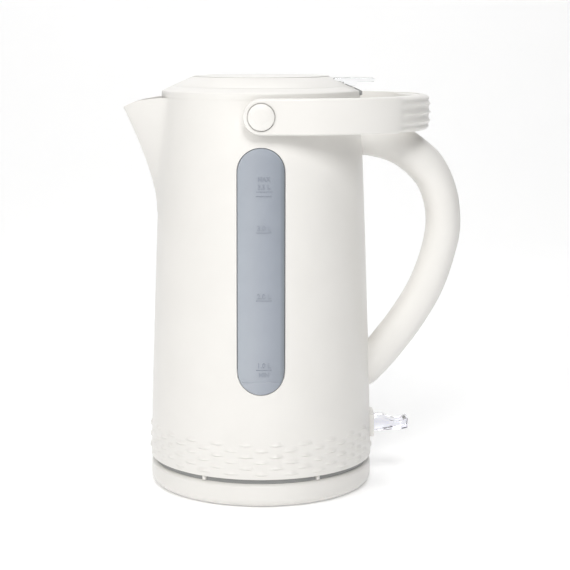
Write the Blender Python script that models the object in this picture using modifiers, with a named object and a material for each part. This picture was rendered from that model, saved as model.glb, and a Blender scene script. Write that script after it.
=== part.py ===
"""An electric kettle on a cordless base, as an assembly of separate pieces, in metres with +Z up.

The frame: the origin is where the body's axis meets the table. +X points to the handle, -X to the
spout, and +Z up. +Y is the right side for someone who holds the handle with the spout pointing
away from them. Only the cord's gland breaks the symmetry about the XZ plane.
"""

import math

import bmesh
import bpy
from mathutils import Matrix, Vector

# Gaps and walls
GAP = 0.0003
WALL = 0.0026

# Heights, from the table up
PLATE_LOW = 0.0016
BASE_TOP = 0.0178
BODY_BOTTOM = 0.0217
BODY_TOP = 0.2914
RIM_TOP = 0.2961
LID_SEAM = 0.2996
LID_TOP = 0.3069
WATER_FLOOR = 0.0507

# Radii about the body's axis
BASE_RADIUS = 0.0837
FOOT_RADIUS = 0.0840
RIM_RADIUS = 0.0734
LID_RADIUS = 0.0657
LID_MOUTH = 0.0608
LID_FLAT = 0.0507
TOWER_RADIUS = 0.0140
SOCKET_RADIUS = 0.0198

# The cord's gland, in the base's far side
GLAND_CENTRE = 0.0810
GLAND_HEIGHT = 0.0098
GLAND_HOLE = 0.0048

# The body narrows towards the top by a linear and a square term of the height
TAPER_HEIGHT = 0.270
TAPER_LINEAR = 0.0078
TAPER_SQUARE = 0.0026

# The spout, a V in plan that grows out of the body
SPOUT_START = 0.207
SPOUT_TIP_HEIGHT = 0.2836
SPOUT_REACH = 0.0285
SPOUT_POWER = 1.43
SPOUT_HALF_WIDTH = 0.029
SPOUT_SPREAD = 2.6
SPOUT_NOSE = 0.05
SPOUT_FILLET = 0.007
SPOUT_LIP_DROP = 0.0076
SPOUT_LIP_POWER = 1.8
SPOUT_SECTOR = math.radians(36)

# The water windows, one on each side
WINDOW_HALF_WIDTH = 0.0174
WINDOW_LOW = 0.0831
WINDOW_HIGH = 0.2588
WINDOW_FLANGE = 0.003

# The pins of the lid and the switch, and the bores around them
PIN_RADIUS = 0.0012
PIN_BORE = 0.0016

# The lid's hinge, its clear thumb lever and the pocket that they turn in
LID_HINGE = Vector((0.066, 0.0, 0.2955))
LEVER_HALF_WIDTH = 0.013
POCKET_HALF_WIDTH = 0.0138
LEVER_LOW = 0.3024
LEVER_HIGH = 0.3057
LEVER_END = 0.0833
LEVER_START = 0.0535

# The carrying bail, a band that lies around the body, with its pivots at the sides
BAIL_PIVOT = Vector((0.0, 0.0, 0.2805))
BAIL_HALF_HEIGHT = 0.0127
BAIL_GRIP_HALF_HEIGHT = 0.0133
BAIL_INNER_HALF_WIDTH = 0.077
BAIL_OUTER_HALF_WIDTH = 0.085
BAIL_BEND = 0.022
BAIL_OUTER_REACH = 0.126
BAIL_LINER_REACH = 0.1135
BAIL_LINER = 0.004
BAIL_PIN_RADIUS = 0.004
BAIL_CAP_RADIUS = 0.010

# The handle, wide enough for a hand
HANDLE_HALF_WIDTH = 0.014
HANDLE_WALL = 0.0026
# Each row pairs a point of the handle's outer edge with one of its inner edge, as x and z
HANDLE_STATIONS = (
    ((0.0770, 0.2775), (0.0770, 0.2482)),
    ((0.0990, 0.2745), (0.0905, 0.2451)),
    ((0.1147, 0.2652), (0.1022, 0.2396)),
    ((0.1345, 0.2483), (0.1150, 0.2278)),
    ((0.1462, 0.2240), (0.1215, 0.2140)),
    ((0.1498, 0.1975), (0.1237, 0.1975)),
    ((0.1465, 0.1750), (0.1203, 0.1770)),
    ((0.1370, 0.1455), (0.1115, 0.1530)),
    ((0.1210, 0.1170), (0.0985, 0.1310)),
    ((0.1010, 0.0905), (0.0865, 0.1150)),
    ((0.0840, 0.0725), (0.0815, 0.1085)),
)

# The switch, a clear lever that rocks in a bezel low on the back
SWITCH_PIVOT = Vector((0.083, 0.0, 0.0434))
SWITCH_HALF_WIDTH = 0.0075
BEZEL_HALF_WIDTH = 0.012
BEZEL_LOW = 0.0345
BEZEL_HIGH = 0.0525

# Facets around a turned piece
ROUND_LARGE = 40
ROUND_MEDIUM = 28
ROUND_TOWER = 24
ROUND_SMALL = 16
ROUND_SCREW = 12


def clear_scene():
    for item in list(bpy.data.objects):
        bpy.data.objects.remove(item, do_unlink=True)


def new_collection(name):
    group = bpy.data.collections.new(name)
    bpy.context.scene.collection.children.link(group)
    return group


def new_material(name, colour, roughness, metallic=0.0, alpha=1.0):
    material = bpy.data.materials.new(name)
    material.use_nodes = True
    shader = material.node_tree.nodes["Principled BSDF"]
    shader.inputs["Base Color"].default_value = (*colour, 1.0)
    shader.inputs["Roughness"].default_value = roughness
    shader.inputs["Metallic"].default_value = metallic
    shader.inputs["Alpha"].default_value = alpha
    return material


clear_scene()
KETTLE = new_collection("electric_kettle")
CUTTERS = new_collection("cutters")

WHITE = new_material("white_plastic", (0.88, 0.87, 0.85), 0.3)
GREY_WINDOW = new_material("window_plastic", (0.42, 0.46, 0.52), 0.25)
CLEAR = new_material("clear_plastic", (0.85, 0.88, 0.88), 0.08, alpha=0.5)
DARK = new_material("dark_plastic", (0.16, 0.16, 0.17), 0.5)
BLACK = new_material("black_plastic", (0.03, 0.03, 0.03), 0.5)
RUBBER = new_material("silicone_rubber", (0.35, 0.35, 0.36), 0.8)
STEEL = new_material("stainless_steel", (0.62, 0.62, 0.62), 0.3, 1.0)
BRASS = new_material("brass", (0.75, 0.56, 0.25), 0.3, 1.0)
AMBER = new_material("lamp_lens", (0.7, 0.25, 0.2), 0.2)


# ---------------------------------------------------------------- making and joining solids


def add_mesh(name, points, faces, material, group=KETTLE):
    mesh = bpy.data.meshes.new(name)
    mesh.from_pydata([tuple(p) for p in points], [], faces)
    mesh.update()
    return add_object(name, mesh, material, group)


def add_object(name, mesh, material, group=KETTLE):
    item = bpy.data.objects.new(name, mesh)
    if material:
        mesh.materials.append(material)
    group.objects.link(item)
    if group is CUTTERS:
        item.hide_render = True
        item.display_type = "WIRE"
    return item


def from_bmesh(name, bm, material, group=KETTLE):
    bmesh.ops.recalc_face_normals(bm, faces=bm.faces)
    mesh = bpy.data.meshes.new(name)
    bm.to_mesh(mesh)
    bm.free()
    return add_object(name, mesh, material, group)


def block(name, low, high, material=None, group=KETTLE):
    """A box between two corners."""
    low, high = Vector(low), Vector(high)
    bm = bmesh.new()
    bmesh.ops.create_cube(bm, size=1.0)
    bmesh.ops.scale(bm, vec=high - low, verts=bm.verts)
    bmesh.ops.translate(bm, vec=(low + high) / 2, verts=bm.verts)
    return from_bmesh(name, bm, material, group)


def rod(name, start, end, radius, material=None, sides=ROUND_SMALL, group=KETTLE, end_radius=None):
    """A cylinder or cone between two points on its axis."""
    start, end = Vector(start), Vector(end)
    along = end - start
    turn = Vector((0, 0, 1)).rotation_difference(along).to_matrix().to_4x4()
    bm = bmesh.new()
    bmesh.ops.create_cone(
        bm,
        cap_ends=True,
        segments=sides,
        radius1=radius,
        radius2=radius if end_radius is None else end_radius,
        depth=along.length,
        matrix=Matrix.Translation((start + end) / 2) @ turn,
    )
    return from_bmesh(name, bm, material, group)


def turned(name, profile, material, steps=ROUND_MEDIUM, closed=True, group=KETTLE):
    """A profile of (radius, height) turned about Z. A closed profile makes a ring."""
    count = len(profile)
    pairs = zip(profile, [*profile[1:], profile[0]])
    clockwise = sum(a[0] * b[1] - b[0] * a[1] for a, b in pairs) < 0
    profile = profile if clockwise else profile[::-1]
    edges = [(i, (i + 1) % count) for i in range(count if closed else count - 1)]
    mesh = bpy.data.meshes.new(name)
    mesh.from_pydata([(r, 0.0, z) for r, z in profile], edges, [])
    item = add_object(name, mesh, material, group)
    screw = item.modifiers.new("Turn", "SCREW")
    screw.steps = steps
    screw.render_steps = steps
    screw.use_merge_vertices = True
    screw.merge_threshold = 0.00001
    screw.use_smooth_shade = False
    return item


def loft(name, rings, material, group=KETTLE, closed=False):
    """A skin over rings of equally many points, with a cap on each end unless it closes on itself."""
    size = len(rings[0])
    points = [p for ring in rings for p in ring]
    faces = []
    spans = len(rings) if closed else len(rings) - 1
    for i in range(spans):
        here, there = i * size, ((i + 1) % len(rings)) * size
        for j in range(size):
            k = (j + 1) % size
            faces.append((here + j, here + k, there + k, there + j))
    if not closed:
        last = (len(rings) - 1) * size
        faces.append(tuple(range(size)))
        faces.append(tuple(last + j for j in range(size)))
    bm = bmesh.new()
    verts = [bm.verts.new(p) for p in points]
    for face in faces:
        bm.faces.new([verts[i] for i in face])
    return from_bmesh(name, bm, material, group)


def boolean(item, other, operation):
    step = item.modifiers.new(operation.title(), "BOOLEAN")
    step.operation = operation
    step.object = other
    step.solver = "EXACT"
    return item


def cut(item, *cutters):
    for cutter in cutters:
        boolean(item, cutter, "DIFFERENCE")
    return item


def add(item, *others):
    for other in others:
        boolean(item, other, "UNION")
    return item


def keep(item, other):
    return boolean(item, other, "INTERSECT")


def smooth(item, angle=35.0):
    item.data.shade_smooth()
    item.data.set_sharp_from_angle(angle=math.radians(angle))
    return item


# ---------------------------------------------------------------- the shape of the body


def body_radius(z):
    """Outer radius of the turned body at a height."""
    t = (z - BODY_BOTTOM) / TAPER_HEIGHT
    return FOOT_RADIUS - TAPER_LINEAR * t - TAPER_SQUARE * t * t


def soft_max(a, b, width):
    """The larger of two values, with a fillet of the given width where they meet."""
    near = max(width - abs(a - b), 0.0) / width
    return max(a, b) + near * near * width / 4


def blunt_sine(angle):
    """The sine of an angle, rounded off around zero so that the spout's edge is blunt."""
    return math.sqrt(math.sin(angle) ** 2 + SPOUT_NOSE**2) - SPOUT_NOSE


def spout_radius(angle, z):
    """Radius of the V of the spout, at an angle from the spout's own plane, or zero below it."""
    if z <= SPOUT_START or abs(angle) > math.radians(60):
        return 0.0
    rise = (z - SPOUT_START) / (SPOUT_TIP_HEIGHT - SPOUT_START)
    spread = min((z - SPOUT_START) / (BODY_TOP - SPOUT_START), 1.0)
    half_width = SPOUT_HALF_WIDTH * (1 - (1 - spread) ** SPOUT_SPREAD)
    wall = body_radius(z)
    nose = wall + SPOUT_REACH * rise**SPOUT_POWER
    root = math.asin(half_width / wall)
    slope = (nose / wall - math.cos(root)) / blunt_sine(root)
    here = min(abs(angle), root)
    # Past its root the flank runs straight on into the body
    bluntness = math.sin(root) * math.cos(root) / math.sqrt(math.sin(root) ** 2 + SPOUT_NOSE**2)
    fall = wall**2 / nose * (slope * bluntness - math.sin(root))
    return nose / (math.cos(here) + slope * blunt_sine(here)) - fall * (abs(angle) - here)


def outer_radius(angle, z):
    """Radius of the body with its spout. The angle is measured from the spout."""
    beak = spout_radius(angle, z)
    if not beak:
        return body_radius(z)
    return soft_max(body_radius(z), beak, SPOUT_FILLET)


def lip_height(angle):
    """Height of the body's top edge, which falls towards the spout's tip."""
    level = SPOUT_TIP_HEIGHT
    reach = outer_radius(angle, level) - body_radius(level)
    whole = outer_radius(0.0, level) - body_radius(level)
    return BODY_TOP - SPOUT_LIP_DROP * (reach / whole) ** SPOUT_LIP_POWER


def around(angle, radius, z):
    """A point at an angle from the spout, which lies along -X."""
    return Vector((-radius * math.cos(angle), -radius * math.sin(angle), z))


def body_angles():
    """Angles around the body, closer together over the spout."""
    spout_steps, other_steps = 18, 30
    fine = [SPOUT_SECTOR * (2 * i / spout_steps - 1) for i in range(spout_steps)]
    rest = 2 * math.pi - 2 * SPOUT_SECTOR
    coarse = [SPOUT_SECTOR + rest * i / other_steps for i in range(other_steps)]
    return fine + coarse


def wall_at(x_offset, y, z):
    """Where a line along +X leaves the round body, moved out by an offset."""
    return math.sqrt(body_radius(z) ** 2 - y * y) + x_offset


# ---------------------------------------------------------------- the power base


def make_base_cover():
    lip, foot_edge, tower_hole = 0.0022, 0.0787, 0.0145
    profile = [
        (tower_hole, BASE_TOP),
        (0.0800, BASE_TOP),
        (0.0826, BASE_TOP - 0.0010),
        (BASE_RADIUS, BASE_TOP - 0.0034),
        (BASE_RADIUS, 0.0062),
        (0.0826, 0.0035),
        (foot_edge + lip, 0.0018),
        (foot_edge, 0.0012),
        (foot_edge, 0.0036),
        (0.0811, 0.0072),
        (0.0811, BASE_TOP - 0.0036),
        (0.0796, BASE_TOP - WALL),
        (tower_hole, BASE_TOP - WALL),
    ]
    cover = turned("base_cover", profile, WHITE, ROUND_LARGE)
    inside, outside = (0, 0.070, GLAND_HEIGHT), (0, 0.090, GLAND_HEIGHT)
    hole = rod("cord_hole", inside, outside, GLAND_HOLE, group=CUTTERS)
    return cut(smooth(cover), hole)


def make_base_inside():
    plate_top, plate_radius = 0.0038, 0.0782
    plate = [(0.0, plate_top), (plate_radius, plate_top), (plate_radius, PLATE_LOW), (0.0, PLATE_LOW)]
    turned("base_bottom_plate", plate, WHITE, ROUND_MEDIUM, closed=False)
    tower = [
        (0.0, 0.0315),
        (0.0050, 0.0315),
        (0.0050, 0.0240),
        (0.0085, 0.0240),
        (0.0085, 0.0315),
        (0.0125, 0.0315),
        (TOWER_RADIUS, 0.0300),
        (TOWER_RADIUS, 0.0149),
        (0.0180, 0.0149),
        (0.0180, 0.0120),
        (TOWER_RADIUS, 0.0120),
        (TOWER_RADIUS, 0.0041),
        (0.0, 0.0041),
    ]
    smooth(turned("base_connector_tower", tower, BLACK, ROUND_TOWER, closed=False))
    contact = [(0.0082, 0.0302), (0.0082, 0.0243), (0.0070, 0.0243), (0.0070, 0.0302)]
    turned("base_contact_ring", contact, BRASS, ROUND_TOWER)
    block("base_terminal_block", (0.024, -0.010, 0.0041), (0.044, 0.010, 0.0115), BLACK)


def on_circle(radius, degrees, z=0.0):
    turn = math.radians(degrees)
    return Vector((radius * math.cos(turn), radius * math.sin(turn), z))


def make_base_feet():
    """Four rubber feet near the rim, and one under the middle, on which the origin lies."""
    circle, thick, low_radius, high_radius = 0.064, 0.0013, 0.0070, 0.0078
    places = {f"base_foot_{i + 1}": on_circle(circle, 45 + 90 * i) for i in range(4)}
    places["base_foot_center"] = Vector()
    for name, place in places.items():
        top = place + Vector((0, 0, thick))
        rod(name, place, top, low_radius, RUBBER, ROUND_SMALL, end_radius=high_radius)


def make_cord_gland():
    """The bush in the side of the base that the cord would leave through."""
    flange_low, flange_high, end = -0.0070, -0.0045, 0.0052
    bush = [
        (0.0053, flange_high),
        (0.0053, flange_low),
        (0.0026, flange_low),
        (0.0026, end),
        (0.0038, end),
        (0.0044, end - 0.0010),
        (0.0044, flange_high),
    ]
    gland = smooth(turned("base_cord_gland", bush, BLACK, ROUND_SMALL))
    gland.location = (0, GLAND_CENTRE, GLAND_HEIGHT)
    gland.rotation_euler = (math.radians(-90), 0, 0)


def make_base_screws():
    circle, radius, head = 0.050, 0.003, 0.0012
    high = PLATE_LOW - GAP
    for number, degrees in enumerate((90, 210, 330), start=1):
        low_end = on_circle(circle, degrees, high - head)
        rod(f"base_screw_{number}", low_end, on_circle(circle, degrees, high), radius, STEEL, ROUND_SCREW)


def make_base():
    make_base_cover()
    make_base_inside()
    make_base_feet()
    make_cord_gland()
    make_base_screws()


# ---------------------------------------------------------------- the kettle's body


def make_body_shell():
    """The open skin of body and spout, thickened inwards, with its windows and slots cut."""
    # Shares of the height, closer together over the spout
    rows = (0.0, 0.25, 0.48, 0.68, 0.735, 0.79, 0.845, 0.895, 0.94, 0.972, 1.0)
    angles = body_angles()
    points = []
    for row in rows:
        for angle in angles:
            z = BODY_BOTTOM + row * (lip_height(angle) - BODY_BOTTOM)
            points.append(around(angle, outer_radius(angle, z), z))
    count = len(angles)
    faces = []
    for i in range(len(rows) - 1):
        for j in range(count):
            k = (j + 1) % count
            faces.append((i * count + j, i * count + k, (i + 1) * count + k, (i + 1) * count + j))
    shell = add_mesh("body_shell", points, faces, WHITE)
    thicken = shell.modifiers.new("Wall", "SOLIDIFY")
    thicken.thickness = WALL
    thicken.offset = -1.0
    smooth(shell)
    slot = block(
        "bezel_slot",
        (0.070, -BEZEL_HALF_WIDTH - GAP, BEZEL_LOW - GAP),
        (0.095, BEZEL_HALF_WIDTH + GAP, BEZEL_HIGH + GAP),
        group=CUTTERS,
    )
    return cut(shell, window_prism("window_cut", WINDOW_HALF_WIDTH, 0.0), slot)


def window_prism(name, half_width, grow):
    """A stadium-shaped prism along Y, through both sides of the body."""
    low, high = WINDOW_LOW - grow, WINDOW_HIGH + grow
    steps = 8
    outline = []
    for centre, start in ((high - half_width, 0.0), (low + half_width, math.pi)):
        for i in range(steps + 1):
            turn = start + math.pi * i / steps
            outline.append((half_width * math.cos(turn), centre + half_width * math.sin(turn)))
    rings = [[Vector((x, y, z)) for x, z in outline] for y in (-0.1, 0.1)]
    return loft(name, rings, None, CUTTERS)


def wall_patch(name, side, outside, inside, material, group=KETTLE):
    """A piece of the body's wall at one side, between two depths below its outer surface."""
    half_turn, columns, levels = math.radians(17), 6, 5
    low, high = 0.076, 0.266
    rings = []
    for i in range(columns + 1):
        turn = half_turn * (2 * i / columns - 1)
        ring = []
        for depth, order in ((outside, range(levels)), (inside, reversed(range(levels)))):
            for j in order:
                z = low + (high - low) * j / (levels - 1)
                radius = body_radius(z) - depth
                ring.append(Vector((radius * math.sin(turn), side * radius * math.cos(turn), z)))
        rings.append(ring)
    return loft(name, rings, material, group)


def make_window(name, side):
    """A window flush with the wall, with a flange behind it that seals on the inside."""
    flange_depth = WALL + 0.0006
    flange_end, pane_end = flange_depth + 0.0014, flange_depth + 0.0010
    half_width = WINDOW_HALF_WIDTH - GAP
    flange = wall_patch(f"{name}_flange", side, flange_depth, flange_end, None, CUTTERS)
    keep(flange, window_prism(f"{name}_flange_outline", half_width + WINDOW_FLANGE, WINDOW_FLANGE))
    window = wall_patch(name, side, 0.0, pane_end, GREY_WINDOW)
    keep(window, window_prism(f"{name}_outline", half_width, -GAP))
    return add(window, flange)


def make_foot_ring():
    """The dark recessed ring that the body stands on, with six ribs around it."""
    low, high = BASE_TOP + GAP, BODY_BOTTOM - GAP
    inner, outer = 0.0780, 0.0812
    ribs, rib_start, rib_end, rib_half, rib_inset = 6, 0.0795, 0.0826, 0.0012, 0.0004
    profile = [(outer, high), (outer, low), (inner, low), (inner, high)]
    ring = turned("foot_ring", profile, DARK, ROUND_LARGE)
    for i in range(ribs):
        near, far = (rib_start, -rib_half, low + rib_inset), (rib_end, rib_half, high - rib_inset)
        rib = block(f"foot_rib_{i}", near, far, group=CUTTERS)
        rib.rotation_euler = (0, 0, 2 * math.pi * i / ribs)
        add(ring, rib)
    return ring


def make_bottom():
    low = BASE_TOP + GAP
    high, inner, outer = low + 0.0024, SOCKET_RADIUS + 0.0008, 0.0776
    cover = [(outer, high), (outer, low), (inner, low), (inner, high)]
    turned("bottom_cover", cover, BLACK, ROUND_MEDIUM)
    floor = WATER_FLOOR
    plate = [
        (0.0, floor),
        (0.0770, floor),
        (0.0784, floor - 0.0014),
        (0.0784, floor - 0.0070),
        (0.0772, floor - 0.0070),
        (0.0772, floor - 0.0018),
        (0.0764, floor - 0.0012),
        (0.0, floor - 0.0012),
    ]
    smooth(turned("heating_plate", plate, STEEL, ROUND_MEDIUM, closed=False))
    top, bottom, near, far = floor - 0.0010, floor - 0.0066, 0.0788, 0.0798
    seal = [(far, top), (far, bottom), (near, bottom), (near, top)]
    turned("plate_seal", seal, RUBBER, ROUND_MEDIUM)


def make_heating_element():
    """A horseshoe of heating tube under the plate, with its ends at the back."""
    plate, tube, ring_radius, opening = 0.0012, 0.0034, 0.052, 50
    centre_z = WATER_FLOOR - plate - GAP - tube
    steps, sides = 20, 8
    rings = []
    for i in range(steps + 1):
        degrees = opening / 2 + (360 - opening) * i / steps
        ring = []
        for j in range(sides):
            roll = 2 * math.pi * j / sides
            height = centre_z + tube * math.sin(roll)
            ring.append(on_circle(ring_radius + tube * math.cos(roll), degrees, height))
        rings.append(ring)
    return smooth(loft("heating_element", rings, STEEL), 60)


def make_control():
    """The thermostat that stands beside the connector, with its bimetal disc and screws."""
    top = 0.0350
    block("thermostat_block", (0.0300, -0.0130, 0.0212), (0.0620, 0.0130, top), BLACK)
    seat = top + GAP
    rod("bimetal_disc", (0.040, 0, seat), (0.040, 0, seat + 0.0008), 0.0070, STEEL)
    for name, y in (("control_screw_left", -0.0095), ("control_screw_right", 0.0095)):
        rod(name, (0.056, y, seat), (0.056, y, seat + 0.0020), 0.0026, STEEL, ROUND_SCREW)
    # The housing ends short of where the lever's tail swings
    housing_end, lamp_height = 0.0724, 0.0275
    block("switch_housing", (0.0630, -0.0110, 0.0240), (housing_end, 0.0110, 0.0420), BLACK)
    lamp_start = (housing_end + GAP, 0, lamp_height)
    rod("indicator_lamp", lamp_start, (0.0778, 0, lamp_height), 0.0022, AMBER, ROUND_SCREW)


def make_steam_tube():
    profile = [(0.0042, 0.2820), (0.0042, 0.0512), (0.0030, 0.0512), (0.0030, 0.2820)]
    tube = turned("steam_tube", profile, WHITE, ROUND_SMALL)
    tube.location = (0.0640, 0, 0)
    return smooth(tube)


def make_spout_filter():
    """A curved screen that hangs behind the spout, with upright slots."""
    near, far, low, high = 0.0652, 0.0668, 0.2440, 0.2880
    half_turn, columns = math.radians(21), 8
    slits, slit_half, slit_pitch = 7, 0.0014, 5.2
    rings = []
    for i in range(columns + 1):
        turn = half_turn * (2 * i / columns - 1)
        corners = ((far, low), (far, high), (near, high), (near, low))
        rings.append([around(turn, radius, z) for radius, z in corners])
    screen = loft("spout_filter", rings, GREY_WINDOW)
    for i in range(slits):
        outside, inside = (-0.075, -slit_half, low + 0.004), (-0.060, slit_half, high - 0.005)
        slit = block(f"filter_slit_{i}", outside, inside, group=CUTTERS)
        slit.rotation_euler = (0, 0, math.radians(slit_pitch * (i - slits // 2)))
        cut(screen, slit)
    return screen


def make_top_collar():
    """The ring that closes the body's top, with the lid's mouth, a front bridge and a hinge pocket."""
    spigot = 0.0702
    profile = [
        (LID_RADIUS + 0.0004, LID_SEAM),
        (RIM_RADIUS, RIM_TOP),
        (RIM_RADIUS, BODY_TOP + GAP),
        (spigot, BODY_TOP + GAP),
        (spigot, 0.2850),
        (spigot - 0.0022, 0.2850),
        (spigot - 0.0022, 0.2905),
        (LID_MOUTH, 0.2905),
        (LID_MOUTH, LID_SEAM - 0.0012),
        (0.0640, LID_SEAM),
    ]
    collar = smooth(turned("top_collar", profile, WHITE, ROUND_LARGE))
    channel, pocket = 0.0285, POCKET_HALF_WIDTH
    opening = block("spout_opening", (-0.080, -channel, 0.280), (-0.052, channel, BODY_TOP), group=CUTTERS)
    hinge_gap = block("hinge_pocket", (0.050, -pocket, 0.280), (0.080, pocket, 0.305), group=CUTTERS)
    return cut(collar, opening, hinge_gap, hinge_bore("collar_pin_bore", LID_HINGE, 0.0195))


def hinge_bore(name, centre, half_length):
    """A cutter along Y for the bore around a hinge's pin."""
    reach = Vector((0, half_length, 0))
    return rod(name, centre - reach, centre + reach, PIN_BORE, sides=ROUND_SCREW, group=CUTTERS)


def hinge_pin(name, centre, half_length):
    reach = Vector((0, half_length, 0))
    return rod(name, centre - reach, centre + reach, PIN_RADIUS, STEEL, ROUND_SCREW)


def make_switch_bezel():
    half, start, end, frame = BEZEL_HALF_WIDTH, 0.0806, 0.0860, 0.0015
    bezel = block("switch_bezel", (start, -half, BEZEL_LOW), (end, half, BEZEL_HIGH), WHITE)
    inside = SWITCH_HALF_WIDTH + 0.0008
    low, high = (0.070, -inside, BEZEL_LOW + frame), (0.095, inside, BEZEL_HIGH - frame)
    opening = block("bezel_opening", low, high, group=CUTTERS)
    cut(bezel, opening, hinge_bore("bezel_bore", SWITCH_PIVOT, 0.0106))
    hinge_pin("switch_pin", SWITCH_PIVOT, 0.0103)


def make_bail_pivots():
    """On each side a stub with a flange on the body, which the bail turns on."""
    for name, side in (("bail_pivot_left", -1), ("bail_pivot_right", 1)):
        profile = [
            (0.0, 0.0846),
            (0.0034, 0.0846),
            (BAIL_PIN_RADIUS, 0.0840),
            (BAIL_PIN_RADIUS, 0.0767),
            (0.0095, 0.0767),
            (0.0095, 0.0744),
            (0.0, 0.0744),
        ]
        stub = smooth(turned(name, profile, WHITE, ROUND_SMALL, closed=False))
        stub.location = (BAIL_PIVOT.x, 0, BAIL_PIVOT.z)
        stub.rotation_euler = (math.radians(-90 * side), 0, 0)


def spline(points, steps):
    """Points along a smooth curve through the given points, as a Catmull-Rom spline."""
    ends = [2 * points[0] - points[1], *points, 2 * points[-1] - points[-2]]
    out = []
    for i in range(len(points) - 1):
        a, b, c, d = ends[i : i + 4]
        for j in range(steps):
            t = j / steps
            square, cube = 2 * a - 5 * b + 4 * c - d, 3 * b - a - 3 * c + d
            out.append(0.5 * (2 * b + (c - a) * t + square * t * t + cube * t**3))
    return [*out, points[-1]]


def handle_ring(outer, inner, half_width, side, arc_steps=5):
    """A C-shaped section of one handle half: an outer half ellipse, then an inner one back."""
    centre, half = (outer + inner) / 2, (outer - inner) / 2
    ring = []
    steps = range(arc_steps + 1)
    for wall, order in ((0.0, steps), (HANDLE_WALL, reversed(steps))):
        shrink = 1 - wall / half.length
        for j in order:
            turn = math.pi * j / arc_steps
            across = (half_width - wall) * math.sin(turn) + GAP / 2
            spot = centre + half * shrink * math.cos(turn)
            ring.append(Vector((spot.x, side * across, spot.y)))
    return ring


def seat_on_wall(ring):
    """Moves a section's points along X onto the body's wall, with a gap."""
    return [Vector((wall_at(2 * GAP, p.y, p.z), p.y, p.z)) for p in ring]


def make_handle():
    outer = spline([Vector(row[0]) for row in HANDLE_STATIONS], 2)
    inner = spline([Vector(row[1]) for row in HANDLE_STATIONS], 2)
    for name, side in (("handle_left", -1), ("handle_right", 1)):
        rings = [handle_ring(a, b, HANDLE_HALF_WIDTH, side) for a, b in zip(outer, inner)]
        rings[0] = seat_on_wall(rings[0])
        rings[-1] = seat_on_wall(rings[-1])
        smooth(loft(name, rings, WHITE), 50)


def make_kettle():
    make_body_shell()
    make_window("window_left", -1)
    make_window("window_right", 1)
    make_foot_ring()
    make_bottom()
    make_heating_element()
    make_control()
    make_steam_tube()
    make_spout_filter()
    make_top_collar()
    make_switch_bezel()
    make_bail_pivots()
    make_handle()
    hinge_pin("lid_hinge_pin", LID_HINGE, 0.0190)


def make_socket():
    """The round socket under the kettle that fits over the base's tower."""
    profile = [
        (0.0, 0.0350),
        (SOCKET_RADIUS, 0.0350),
        (SOCKET_RADIUS, 0.0185),
        (TOWER_RADIUS + 0.0006, 0.0185),
        (TOWER_RADIUS + 0.0006, 0.0320),
        (0.0, 0.0320),
    ]
    return smooth(turned("kettle_connector", profile, BLACK, ROUND_TOWER, closed=False))


# ---------------------------------------------------------------- the lid


def hinge_empty(name, place):
    pivot = bpy.data.objects.new(name, None)
    pivot.location = place
    KETTLE.objects.link(pivot)
    return pivot


def hang(item, pivot):
    """Parents a piece to a pivot and leaves the piece where it is."""
    item.parent = pivot
    item.matrix_parent_inverse = Matrix.Translation(-pivot.location)
    return item


def make_lid_cover():
    """The lid's top: a flat disc with a shallow recess, and a cone down to the seam."""
    recess_radius, recess = 0.0455, 0.0008
    thick = 0.0020
    profile = [
        (0.0, LID_TOP - recess),
        (recess_radius, LID_TOP - recess),
        (recess_radius + 0.0006, LID_TOP),
        (LID_FLAT - 0.0010, LID_TOP),
        (LID_FLAT + 0.0008, LID_TOP - 0.0005),
        (LID_RADIUS, LID_SEAM + GAP + 0.0006),
        (LID_RADIUS - 0.0003, LID_SEAM + GAP),
        (LID_RADIUS - 0.0045, LID_SEAM + GAP),
        (LID_FLAT, LID_TOP - thick - 0.0010),
        (0.0, LID_TOP - thick - 0.0010),
    ]
    cover = smooth(turned("lid_cover", profile, WHITE, ROUND_LARGE, closed=False))
    width = LEVER_HALF_WIDTH + GAP
    near, far = (LEVER_START - GAP, -width, LID_SEAM), (0.080, width, 0.310)
    return cut(cover, block("lid_lever_slot", near, far, group=CUTTERS))


def make_lid_inner():
    """The lid's inside: a plug that fills the mouth, with a groove for the gasket and a hinge knuckle."""
    outer = LID_MOUTH - 0.0012
    groove = 0.0022
    profile = [
        (0.0, LID_SEAM - 0.0004),
        (outer, LID_SEAM - 0.0004),
        (outer, 0.2960),
        (outer - groove, 0.2960),
        (outer - groove, 0.2935),
        (outer, 0.2935),
        (outer, 0.2920),
        (outer - 0.0045, 0.2920),
        (outer - 0.0045, 0.2972),
        (0.0, 0.2972),
    ]
    inner = smooth(turned("lid_inner", profile, WHITE, ROUND_LARGE, closed=False))
    width = LEVER_HALF_WIDTH - 0.0010
    arm = block("lid_arm", (0.0560, -width, 0.2965), (0.0680, width, 0.2991), group=CUTTERS)
    across = Vector((0, width, 0))
    knuckle = rod("lid_knuckle", LID_HINGE - across, LID_HINGE + across, 0.0036, group=CUTTERS)
    return cut(add(inner, arm, knuckle), hinge_bore("lid_bore", LID_HINGE, 0.030))


def make_lid_gasket():
    outer = LID_MOUTH - 0.0012
    profile = [
        (outer + 0.0006, 0.2956),
        (outer + 0.0006, 0.2939),
        (outer - 0.0018, 0.2939),
        (outer - 0.0018, 0.2956),
    ]
    return turned("lid_gasket", profile, RUBBER, ROUND_LARGE)


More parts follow.
